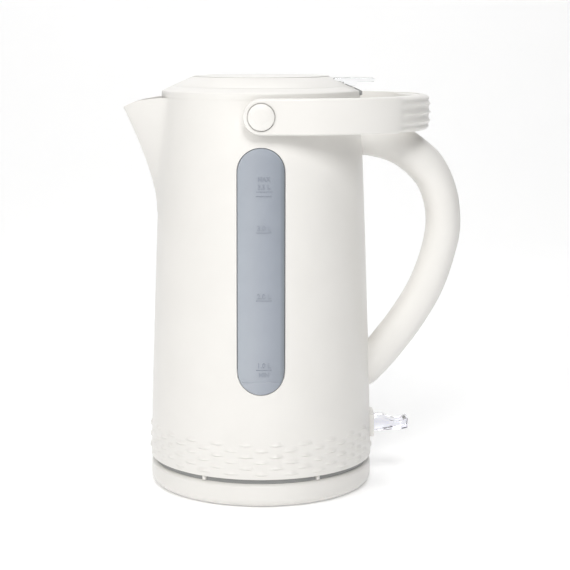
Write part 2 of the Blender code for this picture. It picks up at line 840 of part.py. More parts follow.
def make_lid_lever():
    """The clear thumb lever: a plate out over the back of the lid, with a foot on the hinge arm."""
    width = LEVER_HALF_WIDTH
    outline = [
        (LEVER_START, LEVER_LOW + 0.0008),
        (0.0605, LEVER_LOW),
        (0.0610, 0.2996),
        (0.0690, 0.2996),
        (0.0705, LEVER_LOW),
        (LEVER_END, LEVER_LOW + 0.0002),
        (LEVER_END, LEVER_HIGH - 0.0006),
        (LEVER_END - 0.0012, LEVER_HIGH),
        (LEVER_START + 0.0010, LEVER_HIGH),
        (LEVER_START, LEVER_HIGH - 0.0006),
    ]
    rings = [[Vector((x, y, z)) for x, z in outline] for y in (-width, width)]
    return loft("lid_lever", rings, CLEAR)


def make_lid():
    pivot = hinge_empty("lid_pivot", LID_HINGE)
    for piece in (make_lid_cover(), make_lid_inner(), make_lid_gasket(), make_lid_lever()):
        hang(piece, pivot)


# ---------------------------------------------------------------- the bail


def bail_path(reach, half_width, turn):
    """A point of the bail's U in plan: half an ellipse around the back, from side to side."""
    return Vector((BAIL_BEND + (reach - BAIL_BEND) * math.sin(turn), half_width * math.cos(turn)))


def band_ring(outer, inner, half_height, centre_z, corner):
    """A band's section, a rectangle with cut corners, between an outer and an inner point in plan."""
    along = (inner - outer).normalized() * corner
    ring = []
    corners = ((outer, along, 1), (inner, -along, 1), (inner, -along, -1), (outer, along, -1))
    for spot, step, up in corners:
        flat = Vector((*spot, centre_z + up * (half_height - corner)))
        edge = Vector((*(spot + step), centre_z + up * half_height))
        pair = (flat, edge) if (spot is outer) == (up == 1) else (edge, flat)
        ring.extend(pair)
    return ring


def make_bail_frame():
    """The band: straight arms with round ends about the pivots, and a curve around the back."""
    corner = 0.0012
    frame_reach = BAIL_LINER_REACH + BAIL_LINER + GAP
    arm_turns = (0.999, 0.94, 0.80, 0.58, 0.30, 0.0)
    ends = []
    for share in arm_turns:
        x = -BAIL_HALF_HEIGHT * share
        half_height = math.sqrt(BAIL_HALF_HEIGHT**2 - x * x) + corner
        ends.append((x, min(half_height, BAIL_HALF_HEIGHT)))

    def arm_section(x, half_height, side):
        outer, inner = Vector((x, side * BAIL_OUTER_HALF_WIDTH)), Vector((x, side * BAIL_INNER_HALF_WIDTH))
        return outer, inner, half_height

    sections = [arm_section(*end, 1) for end in ends]
    steps = 24
    for i in range(steps + 1):
        turn = math.pi * i / steps
        outer = bail_path(BAIL_OUTER_REACH, BAIL_OUTER_HALF_WIDTH, turn)
        inner = bail_path(frame_reach, BAIL_INNER_HALF_WIDTH, turn)
        swell = math.sin(turn) ** 4
        half_height = BAIL_HALF_HEIGHT + (BAIL_GRIP_HALF_HEIGHT - BAIL_HALF_HEIGHT) * swell
        sections.append((outer, inner, half_height))
    sections += [arm_section(*end, -1) for end in reversed(ends)]
    rings = [band_ring(*section, BAIL_PIVOT.z, corner) for section in sections]
    frame = smooth(loft("bail_frame", rings, WHITE), 40)
    reach = Vector((0, 0.1, 0))
    bore = rod("bail_bore", BAIL_PIVOT - reach, BAIL_PIVOT + reach, BAIL_PIN_RADIUS + GAP, group=CUTTERS)
    return cut(frame, bore)


def make_bail_liner():
    """The pad on the inside of the grip, where the fingers close."""
    steps, first, last = 12, math.radians(58), math.radians(122)
    back, thin, corner = BAIL_LINER_REACH + BAIL_LINER, 0.0012, 0.0005
    half_height = BAIL_GRIP_HALF_HEIGHT - 0.001
    rings = []
    for i in range(steps + 1):
        turn = first + (last - first) * i / steps
        outer = bail_path(back, BAIL_INNER_HALF_WIDTH - GAP, turn)
        inward = (Vector((BAIL_BEND, 0)) - outer).normalized()
        share = min(1.0, 2.2 * math.sin(math.pi * i / steps))
        inner = outer + inward * (thin + (BAIL_LINER - thin) * share)
        rings.append(band_ring(outer, inner, half_height, BAIL_PIVOT.z, corner))
    return smooth(loft("bail_grip_liner", rings, WHITE), 40)


def make_bail_cap(name, side):
    profile = [
        (0.0, 0.0880),
        (BAIL_CAP_RADIUS - 0.0012, 0.0880),
        (BAIL_CAP_RADIUS, 0.0870),
        (BAIL_CAP_RADIUS, BAIL_OUTER_HALF_WIDTH + GAP),
        (0.0, BAIL_OUTER_HALF_WIDTH + GAP),
    ]
    cap = smooth(turned(name, profile, WHITE, ROUND_MEDIUM, closed=False))
    cap.location = BAIL_PIVOT
    cap.rotation_euler = (math.radians(-90 * side), 0, 0)
    return cap


def make_bail():
    pivot = hinge_empty("bail_axis", BAIL_PIVOT)
    caps = (make_bail_cap("bail_cap_left", -1), make_bail_cap("bail_cap_right", 1))
    for piece in (make_bail_frame(), make_bail_liner(), *caps):
        hang(piece, pivot)


# ---------------------------------------------------------------- the switch


def make_switch():
    """The clear rocker: a tail inside, a round hub at the wall and a dished paddle for a finger."""
    outline = [
        (0.0745, 0.0372),
        (0.0840, 0.0385),
        (0.0900, 0.0383),
        (0.1060, 0.0392),
        (0.1120, 0.0400),
        (0.1125, 0.0472),
        (0.1105, 0.0478),
        (0.1075, 0.0462),
        (0.1040, 0.0452),
        (0.0990, 0.0462),
        (0.0950, 0.0478),
        (0.0900, 0.0486),
        (0.0845, 0.0480),
        (0.0805, 0.0455),
        (0.0800, 0.0412),
        (0.0745, 0.0402),
    ]
    width = SWITCH_HALF_WIDTH
    rings = [[Vector((x, y, z)) for x, z in outline] for y in (-width, width)]
    lever = loft("switch_lever", rings, CLEAR)
    cut(lever, hinge_bore("lever_bore", SWITCH_PIVOT, 0.030))
    hang(lever, hinge_empty("switch_axis", SWITCH_PIVOT))


make_base()
make_socket()
make_kettle()
make_lid()
make_bail()
make_switch()
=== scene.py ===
"""Looks of an electric kettle on its cordless base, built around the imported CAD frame, in metres.

The frame: +X points to the handle, -X to the spout, +Z up, and the camera looks along +Y.
"""

import math

import bmesh
import bpy
from mathutils import Matrix, Vector


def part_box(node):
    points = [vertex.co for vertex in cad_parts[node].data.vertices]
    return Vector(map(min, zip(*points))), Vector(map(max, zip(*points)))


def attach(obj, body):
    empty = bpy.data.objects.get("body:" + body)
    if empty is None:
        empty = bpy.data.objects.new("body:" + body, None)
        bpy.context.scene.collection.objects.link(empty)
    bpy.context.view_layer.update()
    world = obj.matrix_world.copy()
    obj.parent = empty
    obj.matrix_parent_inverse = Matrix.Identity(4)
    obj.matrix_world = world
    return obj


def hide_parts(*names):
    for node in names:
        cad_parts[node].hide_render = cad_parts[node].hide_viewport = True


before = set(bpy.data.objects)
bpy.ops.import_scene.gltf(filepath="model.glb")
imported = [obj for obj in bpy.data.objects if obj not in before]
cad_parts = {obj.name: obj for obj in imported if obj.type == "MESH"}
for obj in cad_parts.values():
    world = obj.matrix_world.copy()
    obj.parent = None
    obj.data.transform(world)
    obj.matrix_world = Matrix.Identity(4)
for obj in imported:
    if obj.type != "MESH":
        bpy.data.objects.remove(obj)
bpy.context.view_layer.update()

# ---------------------------------------------------------------- sizes, from the CAD part

GAP = 0.0003
SEAM = 0.00003
WALL = 0.0026
BASE_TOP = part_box("base_cover")[1].z
BASE_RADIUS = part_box("base_cover")[1].x
BODY_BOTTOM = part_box("body_shell")[0].z
BODY_TOP = 0.2914
RIM_TOP = 0.2961
LID_SEAM = 0.2996
LID_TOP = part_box("lid_cover")[1].z
WATER_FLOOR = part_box("heating_plate")[1].z
FOOT_RADIUS = 0.0840
RIM_RADIUS = 0.0734
LID_RADIUS = 0.0657
LID_MOUTH = 0.0608
LID_FLAT = 0.0507
SOCKET_RADIUS = 0.0198
TOWER_RADIUS = 0.0140

TAPER_HEIGHT = 0.270
TAPER_LINEAR = 0.0078
TAPER_SQUARE = 0.0026

SPOUT_START = 0.207
SPOUT_TIP_HEIGHT = 0.2836
SPOUT_REACH = 0.0285
SPOUT_POWER = 1.43
SPOUT_HALF_WIDTH = 0.029
SPOUT_SPREAD = 2.6
SPOUT_NOSE = 0.05
SPOUT_FILLET = 0.003
SPOUT_LIP_DROP = 0.0076
SPOUT_LIP_POWER = 1.8

WINDOW_HALF_WIDTH = 0.0174
WINDOW_LOW = 0.0831
WINDOW_HIGH = 0.2588
WINDOW_FLANGE = 0.003

LEVER_HALF_WIDTH = 0.013
POCKET_HALF_WIDTH = 0.0138
LEVER_LOW = 0.3024
LEVER_HIGH = 0.3057
LEVER_END = 0.0833
LEVER_START = 0.0535

BAIL_PIVOT = Vector((0.0, 0.0, 0.2805))
BAIL_HALF_HEIGHT = 0.0127
BAIL_GRIP_HALF_HEIGHT = 0.0133
BAIL_INNER_HALF_WIDTH = 0.077
BAIL_OUTER_HALF_WIDTH = 0.085
BAIL_BEND = 0.022
BAIL_OUTER_REACH = 0.126
BAIL_LINER_REACH = 0.1135
BAIL_LINER = 0.004
BAIL_PIN_RADIUS = 0.004
BAIL_CAP_RADIUS = 0.0094
CAP_RING = 0.0005
CAP_POCKET = 0.0016

HANDLE_HALF_WIDTH = 0.014
HANDLE_WALL = 0.0026
SEAT_DEPTH = 0.0006
# Each row pairs a point of the handle's outer edge with one of its inner edge, as x and z
HANDLE_STATIONS = (
    ((0.0770, 0.2775), (0.0770, 0.2482)),
    ((0.0990, 0.2745), (0.0905, 0.2451)),
    ((0.1147, 0.2652), (0.1022, 0.2396)),
    ((0.1345, 0.2483), (0.1150, 0.2278)),
    ((0.1462, 0.2240), (0.1215, 0.2140)),
    ((0.1498, 0.1975), (0.1237, 0.1975)),
    ((0.1465, 0.1750), (0.1203, 0.1770)),
    ((0.1370, 0.1455), (0.1115, 0.1530)),
    ((0.1210, 0.1170), (0.0985, 0.1310)),
    ((0.1010, 0.0905), (0.0865, 0.1150)),
    ((0.0840, 0.0725), (0.0815, 0.1085)),
)

SWITCH_HALF_WIDTH = 0.0075
BEZEL_HALF_WIDTH = 0.012
BEZEL_LOW = 0.0345
BEZEL_HIGH = 0.0525

# The moulded band of scales near the foot: staggered rows, 24 scales in each
BAND_TOP = 0.054
SCALE_ROWS = 6
SCALE_COUNT = 24
SCALE_FIRST_ROW = 0.0460
SCALE_PITCH = 0.0042
SCALE_DEPTH = 0.0017
SCALE_STEP = 0.0012
SCALE_LENGTH = 0.0036
SCALE_SPREAD = 0.5

# Steps round a turned piece, and the edges that a mould rounds
ROUND = 168
ROUND_SMALL = 64
ROUND_PIN = 48
ROUND_CAP = 96
SHARP = 38.0
MOULD_BEVEL = 0.0003
RIM_BEVEL = 0.00045
PLASTIC_IOR = 1.49


# ---------------------------------------------------------------- procedural materials


def material_base(name):
    material = bpy.data.materials.new(name)
    material.use_nodes = True
    tree = material.node_tree
    shader = tree.nodes["Principled BSDF"]
    where = tree.nodes.new("ShaderNodeTexCoord")
    return material, tree, shader, where.outputs["Object"]


def set_values(node, values):
    for name, value in values.items():
        node.inputs[name].default_value = value


def feed(tree, node, sources):
    for name, source in sources.items():
        tree.links.new(source, node.inputs[name])


def add_node(tree, kind, values, sources):
    node = tree.nodes.new(kind)
    set_values(node, values)
    feed(tree, node, sources)
    return node


def noise_node(tree, vector, scale, detail=3.0, roughness=0.55):
    values = {"Scale": scale, "Detail": detail, "Roughness": roughness}
    return add_node(tree, "ShaderNodeTexNoise", values, {"Vector": vector}).outputs["Fac"]


def ramp_node(tree, value, tint_and_painted_shade_stops):
    node = tree.nodes.new("ShaderNodeValToRGB")
    ramp = node.color_ramp
    while len(ramp.elements) < len(tint_and_painted_shade_stops):
        ramp.elements.new(0.5)
    for element, (place, colour) in zip(ramp.elements, tint_and_painted_shade_stops):
        element.position = place
        element.color = (*colour, 1.0)
    feed(tree, node, {"Fac": value})
    return node.outputs["Color"]


def two_tone(tree, value, dark, light):
    return ramp_node(tree, value, ((0.3, dark), (0.7, light)))


def range_node(tree, value, low, high, from_low=0.3, from_high=0.7):
    values = {"From Min": from_low, "From Max": from_high, "To Min": low, "To Max": high}
    return add_node(tree, "ShaderNodeMapRange", values, {"Value": value}).outputs["Result"]


def bump_node(tree, height, strength, distance=0.0002):
    values = {"Strength": strength, "Distance": distance}
    return add_node(tree, "ShaderNodeBump", values, {"Height": height}).outputs["Normal"]


def moulded_plastic(name, dark, light, rough_low, rough_high, bump=0.05, level=0.5, coat=0.0):
    """Moulded plastic: faint flow mottling, slightly uneven gloss and, with bump, a fine grain."""
    material, tree, shader, place = material_base(name)
    mottle = noise_node(tree, place, 22.0, 4.0)
    sheen = noise_node(tree, place, 60.0)
    feed(tree, shader, {
        "Base Color": two_tone(tree, mottle, dark, light),
        "Roughness": range_node(tree, sheen, rough_low, rough_high),
    })
    if bump:
        grain = noise_node(tree, place, 900.0, 2.0)
        feed(tree, shader, {"Normal": bump_node(tree, grain, bump)})
    set_values(shader, {
        "Specular IOR Level": level,
        "IOR": PLASTIC_IOR,
        "Coat Weight": coat,
        "Coat Roughness": 0.08,
    })
    return material


def window_material():
    """Tinted plastic with painted light: a painted highlight on the spout's side that falls off to
    painted shade at the far edge.
    """
    material, tree, shader, place = material_base("window_plastic_look")
    split = add_node(tree, "ShaderNodeSeparateXYZ", {}, {"Vector": place})
    across = range_node(tree, split.outputs["X"], 0.0, 1.0, -WINDOW_HALF_WIDTH, WINDOW_HALF_WIDTH)
    # The plastic's tint with painted light across it: paler on the spout's side, darkest at the far edge
    # as painted shade
    tint_and_painted_shade_stops = (
        (0.0, (0.405, 0.44, 0.485)),
        (0.30, (0.40, 0.43, 0.475)),
        (0.62, (0.35, 0.38, 0.43)),
        (0.88, (0.30, 0.33, 0.375)),
        (1.0, (0.18, 0.20, 0.22)),
    )
    cloud = noise_node(tree, place, 40.0)
    mix = tree.nodes.new("ShaderNodeMix")
    mix.data_type, mix.blend_type = "RGBA", "MULTIPLY"
    set_values(mix, {"Factor": 1.0})
    feed(tree, mix, {
        "A": ramp_node(tree, across, tint_and_painted_shade_stops),
        "B": two_tone(tree, cloud, (0.95, 0.95, 0.96), (1.0, 1.0, 1.0)),
    })
    grain = noise_node(tree, place, 1400.0, 2.0)
    feed(tree, shader, {
        "Base Color": mix.outputs["Result"],
        "Roughness": range_node(tree, cloud, 0.16, 0.22),
        "Normal": bump_node(tree, grain, 0.03),
    })
    set_values(shader, {"IOR": PLASTIC_IOR})
    return material


def clear_material(name, dark, light):
    """Clear polished plastic with a faint tint that varies a little."""
    material, tree, shader, place = material_base(name)
    flow = noise_node(tree, place, 90.0, 2.0)
    waves = noise_node(tree, place, 240.0, 1.0)
    feed(tree, shader, {
        "Base Color": two_tone(tree, flow, dark, light),
        "Roughness": range_node(tree, flow, 0.03, 0.07),
        "Normal": bump_node(tree, waves, 0.04, 0.0003),
    })
    set_values(shader, {"Transmission Weight": 1.0, "IOR": 1.47})
    return material


def metal_material(name, dark, light, stretch):
    """Metal with fine machining lines along one direction."""
    material, tree, shader, place = material_base(name)
    along = add_node(tree, "ShaderNodeMapping", {"Scale": stretch}, {"Vector": place})
    lines = noise_node(tree, along.outputs["Vector"], 1.0, 4.0, 0.7)
    feed(tree, shader, {
        "Base Color": two_tone(tree, lines, dark, light),
        "Roughness": range_node(tree, lines, 0.22, 0.34),
        "Normal": bump_node(tree, lines, 0.15),
    })
    set_values(shader, {"Metallic": 1.0})
    return material


LOOKS = {
    "white_plastic": moulded_plastic(
        "white_plastic_look", (0.80, 0.785, 0.755), (0.825, 0.81, 0.78), 0.305, 0.315, 0.0, 0.35
    ),
    "window_plastic": window_material(),
    "clear_plastic": clear_material("clear_plastic_look", (0.93, 0.94, 0.95), (0.98, 0.985, 0.99)),
    # The dark plastic also makes the painted shadow under the lid lever
    "dark_plastic": moulded_plastic(
        "dark_plastic_look", (0.28, 0.285, 0.28), (0.32, 0.325, 0.32), 0.45, 0.55
    ),
    "black_plastic": moulded_plastic(
        "black_plastic_look", (0.022, 0.022, 0.024), (0.034, 0.034, 0.036), 0.38, 0.5, 0.12
    ),
    "silicone_rubber": moulded_plastic(
        "silicone_rubber_look", (0.23, 0.23, 0.24), (0.30, 0.30, 0.31), 0.65, 0.8, 0.2, 0.3
    ),
    "stainless_steel": metal_material(
        "stainless_steel_look", (0.56, 0.57, 0.58), (0.68, 0.69, 0.70), (30, 1800, 1800)
    ),
    "brass": metal_material("brass_look", (0.70, 0.50, 0.20), (0.82, 0.62, 0.30), (1500, 1500, 60)),
    "lamp_lens": moulded_plastic(
        "lamp_lens_look", (0.62, 0.16, 0.10), (0.72, 0.24, 0.14), 0.12, 0.2, 0.05, 0.5, 0.5
    ),
}
# The scale marks stand raised on the pane; their darker tone is painted shade, standing for the shaded
# walls of engraved marks
PAINTED_GROOVE_SHADE_MARK = moulded_plastic("window_mark_look", (0.27, 0.295, 0.345), (0.30, 0.325, 0.375), 0.25, 0.32)
CLEAR_SWITCH = clear_material("clear_switch_look", (0.86, 0.86, 0.95), (0.93, 0.93, 0.98))


# ---------------------------------------------------------------- making pieces


def linked(name, data):
    item = bpy.data.objects.new(name, data)
    bpy.context.scene.collection.objects.link(item)
    return item


def new_piece(name, mesh, body, slot, look=None, nodes=()):
    """A visible piece that rides on a body, takes a slot's finish and stands for CAD nodes."""
    mesh.materials.clear()
    mesh.materials.append(look or LOOKS[slot])
    piece = linked(name, mesh)
    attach(piece, body)
    if nodes:
        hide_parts(*nodes)


def redo(name, mesh, body, slot, look=None):
    """The visible piece that stands for the CAD node of this name."""
    new_piece(f"{name}_look", mesh, body, slot, look, [name])


def mesh_from(name, bm, sharp=SHARP, flat=False):
    bmesh.ops.remove_doubles(bm, verts=bm.verts, dist=1e-7)
    bmesh.ops.recalc_face_normals(bm, faces=bm.faces)
    mesh = bpy.data.meshes.new(name)
    bm.to_mesh(mesh)
    bm.free()
    if not flat:
        mesh.shade_smooth()
        mesh.set_sharp_from_angle(angle=math.radians(sharp))
    return mesh


def moved(bm, matrix):
    bmesh.ops.transform(bm, matrix=matrix, verts=bm.verts)
    return bm


def rounded(corners, closed=True, steps=4):
    """A profile with its corners filleted. A corner is (x, y) or (x, y, fillet radius)."""
    count = len(corners)
    out = []
    for i, corner in enumerate(corners):
        spot = Vector(corner[:2])
        fillet = corner[2] if len(corner) > 2 else 0.0
        end = not closed and i in (0, count - 1)
        if fillet <= 0 or end:
            out.append(spot)
            continue
        back = Vector(corners[i - 1][:2]) - spot
        ahead = Vector(corners[(i + 1) % count][:2]) - spot
        half = back.angle(ahead) / 2
        reach = min(fillet / math.tan(half), back.length * 0.48, ahead.length * 0.48)
        radius = reach * math.tan(half)
        a, b = spot + back.normalized() * reach, spot + ahead.normalized() * reach
        centre = spot + (back.normalized() + ahead.normalized()).normalized() * (radius / math.sin(half))
        from_a, from_b = a - centre, b - centre
        sweep = from_a.angle_signed(from_b)
        for k in range(steps + 1):
            turn = -sweep * k / steps
            out.append(centre + Matrix.Rotation(turn, 2) @ from_a)
    return out


def turned_bmesh(profile, steps=ROUND, closed=True):
    """A profile of (radius, height) turned about Z."""
    bm = bmesh.new()
    rings = []
    for i in range(steps):
        turn = 2 * math.pi * i / steps
        rings.append([bm.verts.new((r * math.cos(turn), r * math.sin(turn), z)) for r, z in profile])
    spans = len(profile) if closed else len(profile) - 1
    for i in range(steps):
        here, there = rings[i], rings[(i + 1) % steps]
        for j in range(spans):
            k = (j + 1) % len(profile)
            bm.faces.new((here[j], here[k], there[k], there[j]))
    bmesh.ops.remove_doubles(bm, verts=bm.verts, dist=1e-7)
    return bm


def turned_mesh(name, corners, steps=ROUND, closed=True, place=None):
    bm = turned_bmesh(rounded(corners, closed), steps, closed)
    return mesh_from(name, moved(bm, place) if place else bm)


def redo_turned(name, corners, body, slot, steps=ROUND, closed=True, place=None):
    redo(name, turned_mesh(f"{name}_look", corners, steps, closed, place), body, slot)


def loft_bmesh(rings, closed=False):
    """A skin over rings of equally many points, capped unless it closes on itself."""
    bm = bmesh.new()
    rows = [[bm.verts.new(p) for p in ring] for ring in rings]
    size = len(rows[0])
    for i in range(len(rows) if closed else len(rows) - 1):
        here, there = rows[i], rows[(i + 1) % len(rows)]
        for j in range(size):
            k = (j + 1) % size
            bm.faces.new((here[j], here[k], there[k], there[j]))
    if not closed:
        bm.faces.new(rows[0])
        bm.faces.new(rows[-1][::-1])
    return bm


def box_bmesh(low, high):
    low, high = Vector(low), Vector(high)
    bm = bmesh.new()
    bmesh.ops.create_cube(bm, size=1.0)
    bmesh.ops.scale(bm, vec=high - low, verts=bm.verts)
    bmesh.ops.translate(bm, vec=(low + high) / 2, verts=bm.verts)
    return bm


def evaluated_mesh(item):
    """The item's mesh with its modifiers applied; for text, the mesh of its letters."""
    bpy.context.view_layer.update()
    graph = bpy.context.evaluated_depsgraph_get()
    return bpy.data.meshes.new_from_object(item.evaluated_get(graph))


def finished(work, sharp, tools=()):
    """The work object's final mesh. The objects that made it are removed."""
    done = evaluated_mesh(work)
    for item in (work, *tools):
        bpy.data.objects.remove(item, do_unlink=True)
    done.shade_smooth()
    done.set_sharp_from_angle(angle=math.radians(sharp))
    return done


def add_bevel(work, width, segments, angle=None):
    """Rounds the edges sharper than an angle or, without one, those with a bevel weight."""
    step = work.modifiers.new("Soften", "BEVEL")
    step.width, step.segments = width, segments
    step.limit_method = "ANGLE" if angle else "WEIGHT"
    if angle:
        step.angle_limit = math.radians(angle)


def cut_mesh(mesh, cutters, name, bevel=0.0, sharp=SHARP):
    """The mesh with the cutters' shapes taken out, and its sharp edges softened."""
    work = linked("work", mesh)
    tools = [linked("tool", mesh_from("tool", bm, flat=True)) for bm in cutters]
    for tool in tools:
        step = work.modifiers.new("Cut", "BOOLEAN")
        step.operation, step.solver, step.object = "DIFFERENCE", "EXACT", tool
    if bevel:
        add_bevel(work, bevel, 2, 50)
    done = finished(work, sharp, tools)
    done.name = name
    return done


def soften_edges(mesh, width, angle, segments=2):
    """Rounds a mesh's sharp edges a little, as a mould does."""
    work = linked("work", mesh)
    add_bevel(work, width, segments, angle)
    return finished(work, 40)


def smooth_step(value):
    value = min(max(value, 0.0), 1.0)
    return value * value * (3 - 2 * value)


# ---------------------------------------------------------------- the shape of the body


def body_radius(z):
    t = (z - BODY_BOTTOM) / TAPER_HEIGHT
    return FOOT_RADIUS - TAPER_LINEAR * t - TAPER_SQUARE * t * t


def soft_max(a, b, width):
    near = max(width - abs(a - b), 0.0) / width
    return max(a, b) + near * near * width / 4


def blunt_sine(angle):
    return math.sqrt(math.sin(angle) ** 2 + SPOUT_NOSE**2) - SPOUT_NOSE


def spout_radius(angle, z):
    if z <= SPOUT_START or abs(angle) > math.radians(60):
        return 0.0
    rise = (z - SPOUT_START) / (SPOUT_TIP_HEIGHT - SPOUT_START)
    spread = min((z - SPOUT_START) / (BODY_TOP - SPOUT_START), 1.0)
    half_width = SPOUT_HALF_WIDTH * (1 - (1 - spread) ** SPOUT_SPREAD)
    wall = body_radius(z)
    nose = wall + SPOUT_REACH * rise**SPOUT_POWER
    root = math.asin(half_width / wall)
    slope = (nose / wall - math.cos(root)) / blunt_sine(root)
    here = min(abs(angle), root)
    bluntness = math.sin(root) * math.cos(root) / math.sqrt(math.sin(root) ** 2 + SPOUT_NOSE**2)
    fall = wall**2 / nose * (slope * bluntness - math.sin(root))
    return nose / (math.cos(here) + slope * blunt_sine(here)) - fall * (abs(angle) - here)


def wrapped(angle):
    """The same angle between minus pi and pi."""
    return (angle + math.pi) % (2 * math.pi) - math.pi


def outer_radius(angle, z):
    """Radius of the body with its spout. The angle is measured from the spout."""
    beak = spout_radius(wrapped(angle), z)
    if not beak:
        return body_radius(z)
    return soft_max(body_radius(z), beak, SPOUT_FILLET)


def lip_height(angle):
    level = SPOUT_TIP_HEIGHT
    reach = outer_radius(angle, level) - body_radius(level)
    whole = outer_radius(0.0, level) - body_radius(level)
    return BODY_TOP - SPOUT_LIP_DROP * (reach / whole) ** SPOUT_LIP_POWER


def around(angle, radius, z):
    return Vector((-radius * math.cos(angle), -radius * math.sin(angle), z))


def scale_relief(angle, z):
    """Height of the band's overlapping scales above the plain wall."""
    if z > BAND_TOP:
        return 0.0
    height = 0.0
    for row in range(SCALE_ROWS):
        rise = z - (SCALE_FIRST_ROW - row * SCALE_PITCH)
        if rise < -SCALE_STEP or rise > SCALE_LENGTH:
            continue
        phase = (angle - math.pi / 2) * SCALE_COUNT / (2 * math.pi) + (0.5 if row % 2 == 0 else 0.0)
        across = min(2 * abs(phase - round(phase)) / SCALE_SPREAD, 1.0)
        weight = (1 - across * across) ** 1.5
        edge = smooth_step((rise + SCALE_STEP / 2) / SCALE_STEP)
        height += SCALE_DEPTH * weight * edge * (1 - max(rise, 0.0) / SCALE_LENGTH) ** 1.6
    # The pattern fades out beside the switch's bezel, and at the bottom edge
    beside = max((math.pi - abs(wrapped(angle))) * FOOT_RADIUS - BEZEL_HALF_WIDTH, 0.0)
    above = max(BEZEL_LOW - z, z - BEZEL_HIGH, 0.0)
    near_bezel = smooth_step((math.hypot(beside, above) - 0.001) / 0.004)
    near_foot = smooth_step((z - BODY_BOTTOM - 0.0004) / 0.0012)
    return height * near_bezel * near_foot


# ---------------------------------------------------------------- the body's shell


def shell_angles():
    """Angles around the body: an even grid in step with the scales, finer over the spout's edge."""
    count, spout_steps = SCALE_COUNT * 14, 7
    step = 2 * math.pi / count
    angles = []
    for i in range(count):
        angle = i * step
        angles.append(angle)
        if i < spout_steps or i >= count - spout_steps:
            angles.append(angle + step / 2)
    return angles, step


def shell_levels():
    band_steps, spout_low = 76, 0.205
    band = [BODY_BOTTOM, BODY_BOTTOM + 0.0003]
    start = band[-1]
    band += [start + (BAND_TOP - start) * (i + 1) / band_steps for i in range(band_steps)]
    middle = [BAND_TOP + 0.008 * (i + 1) for i in range(18)]
    spout = [spout_low + 0.003 * i for i in range(29)]
    return band + middle + spout + [BODY_TOP - 0.0008, BODY_TOP - 0.0003, BODY_TOP], spout_low


def stadium_target(x, z):
    """The point of the window's outline that a point outside it looks at."""
    low, high = WINDOW_LOW + WINDOW_HALF_WIDTH, WINDOW_HIGH - WINDOW_HALF_WIDTH
    if low <= z <= high:
        return math.copysign(WINDOW_HALF_WIDTH, x), z
    centre = high if z > high else low
    away = math.hypot(x, z - centre)
    return x / away * WINDOW_HALF_WIDTH, centre + (z - centre) / away * WINDOW_HALF_WIDTH


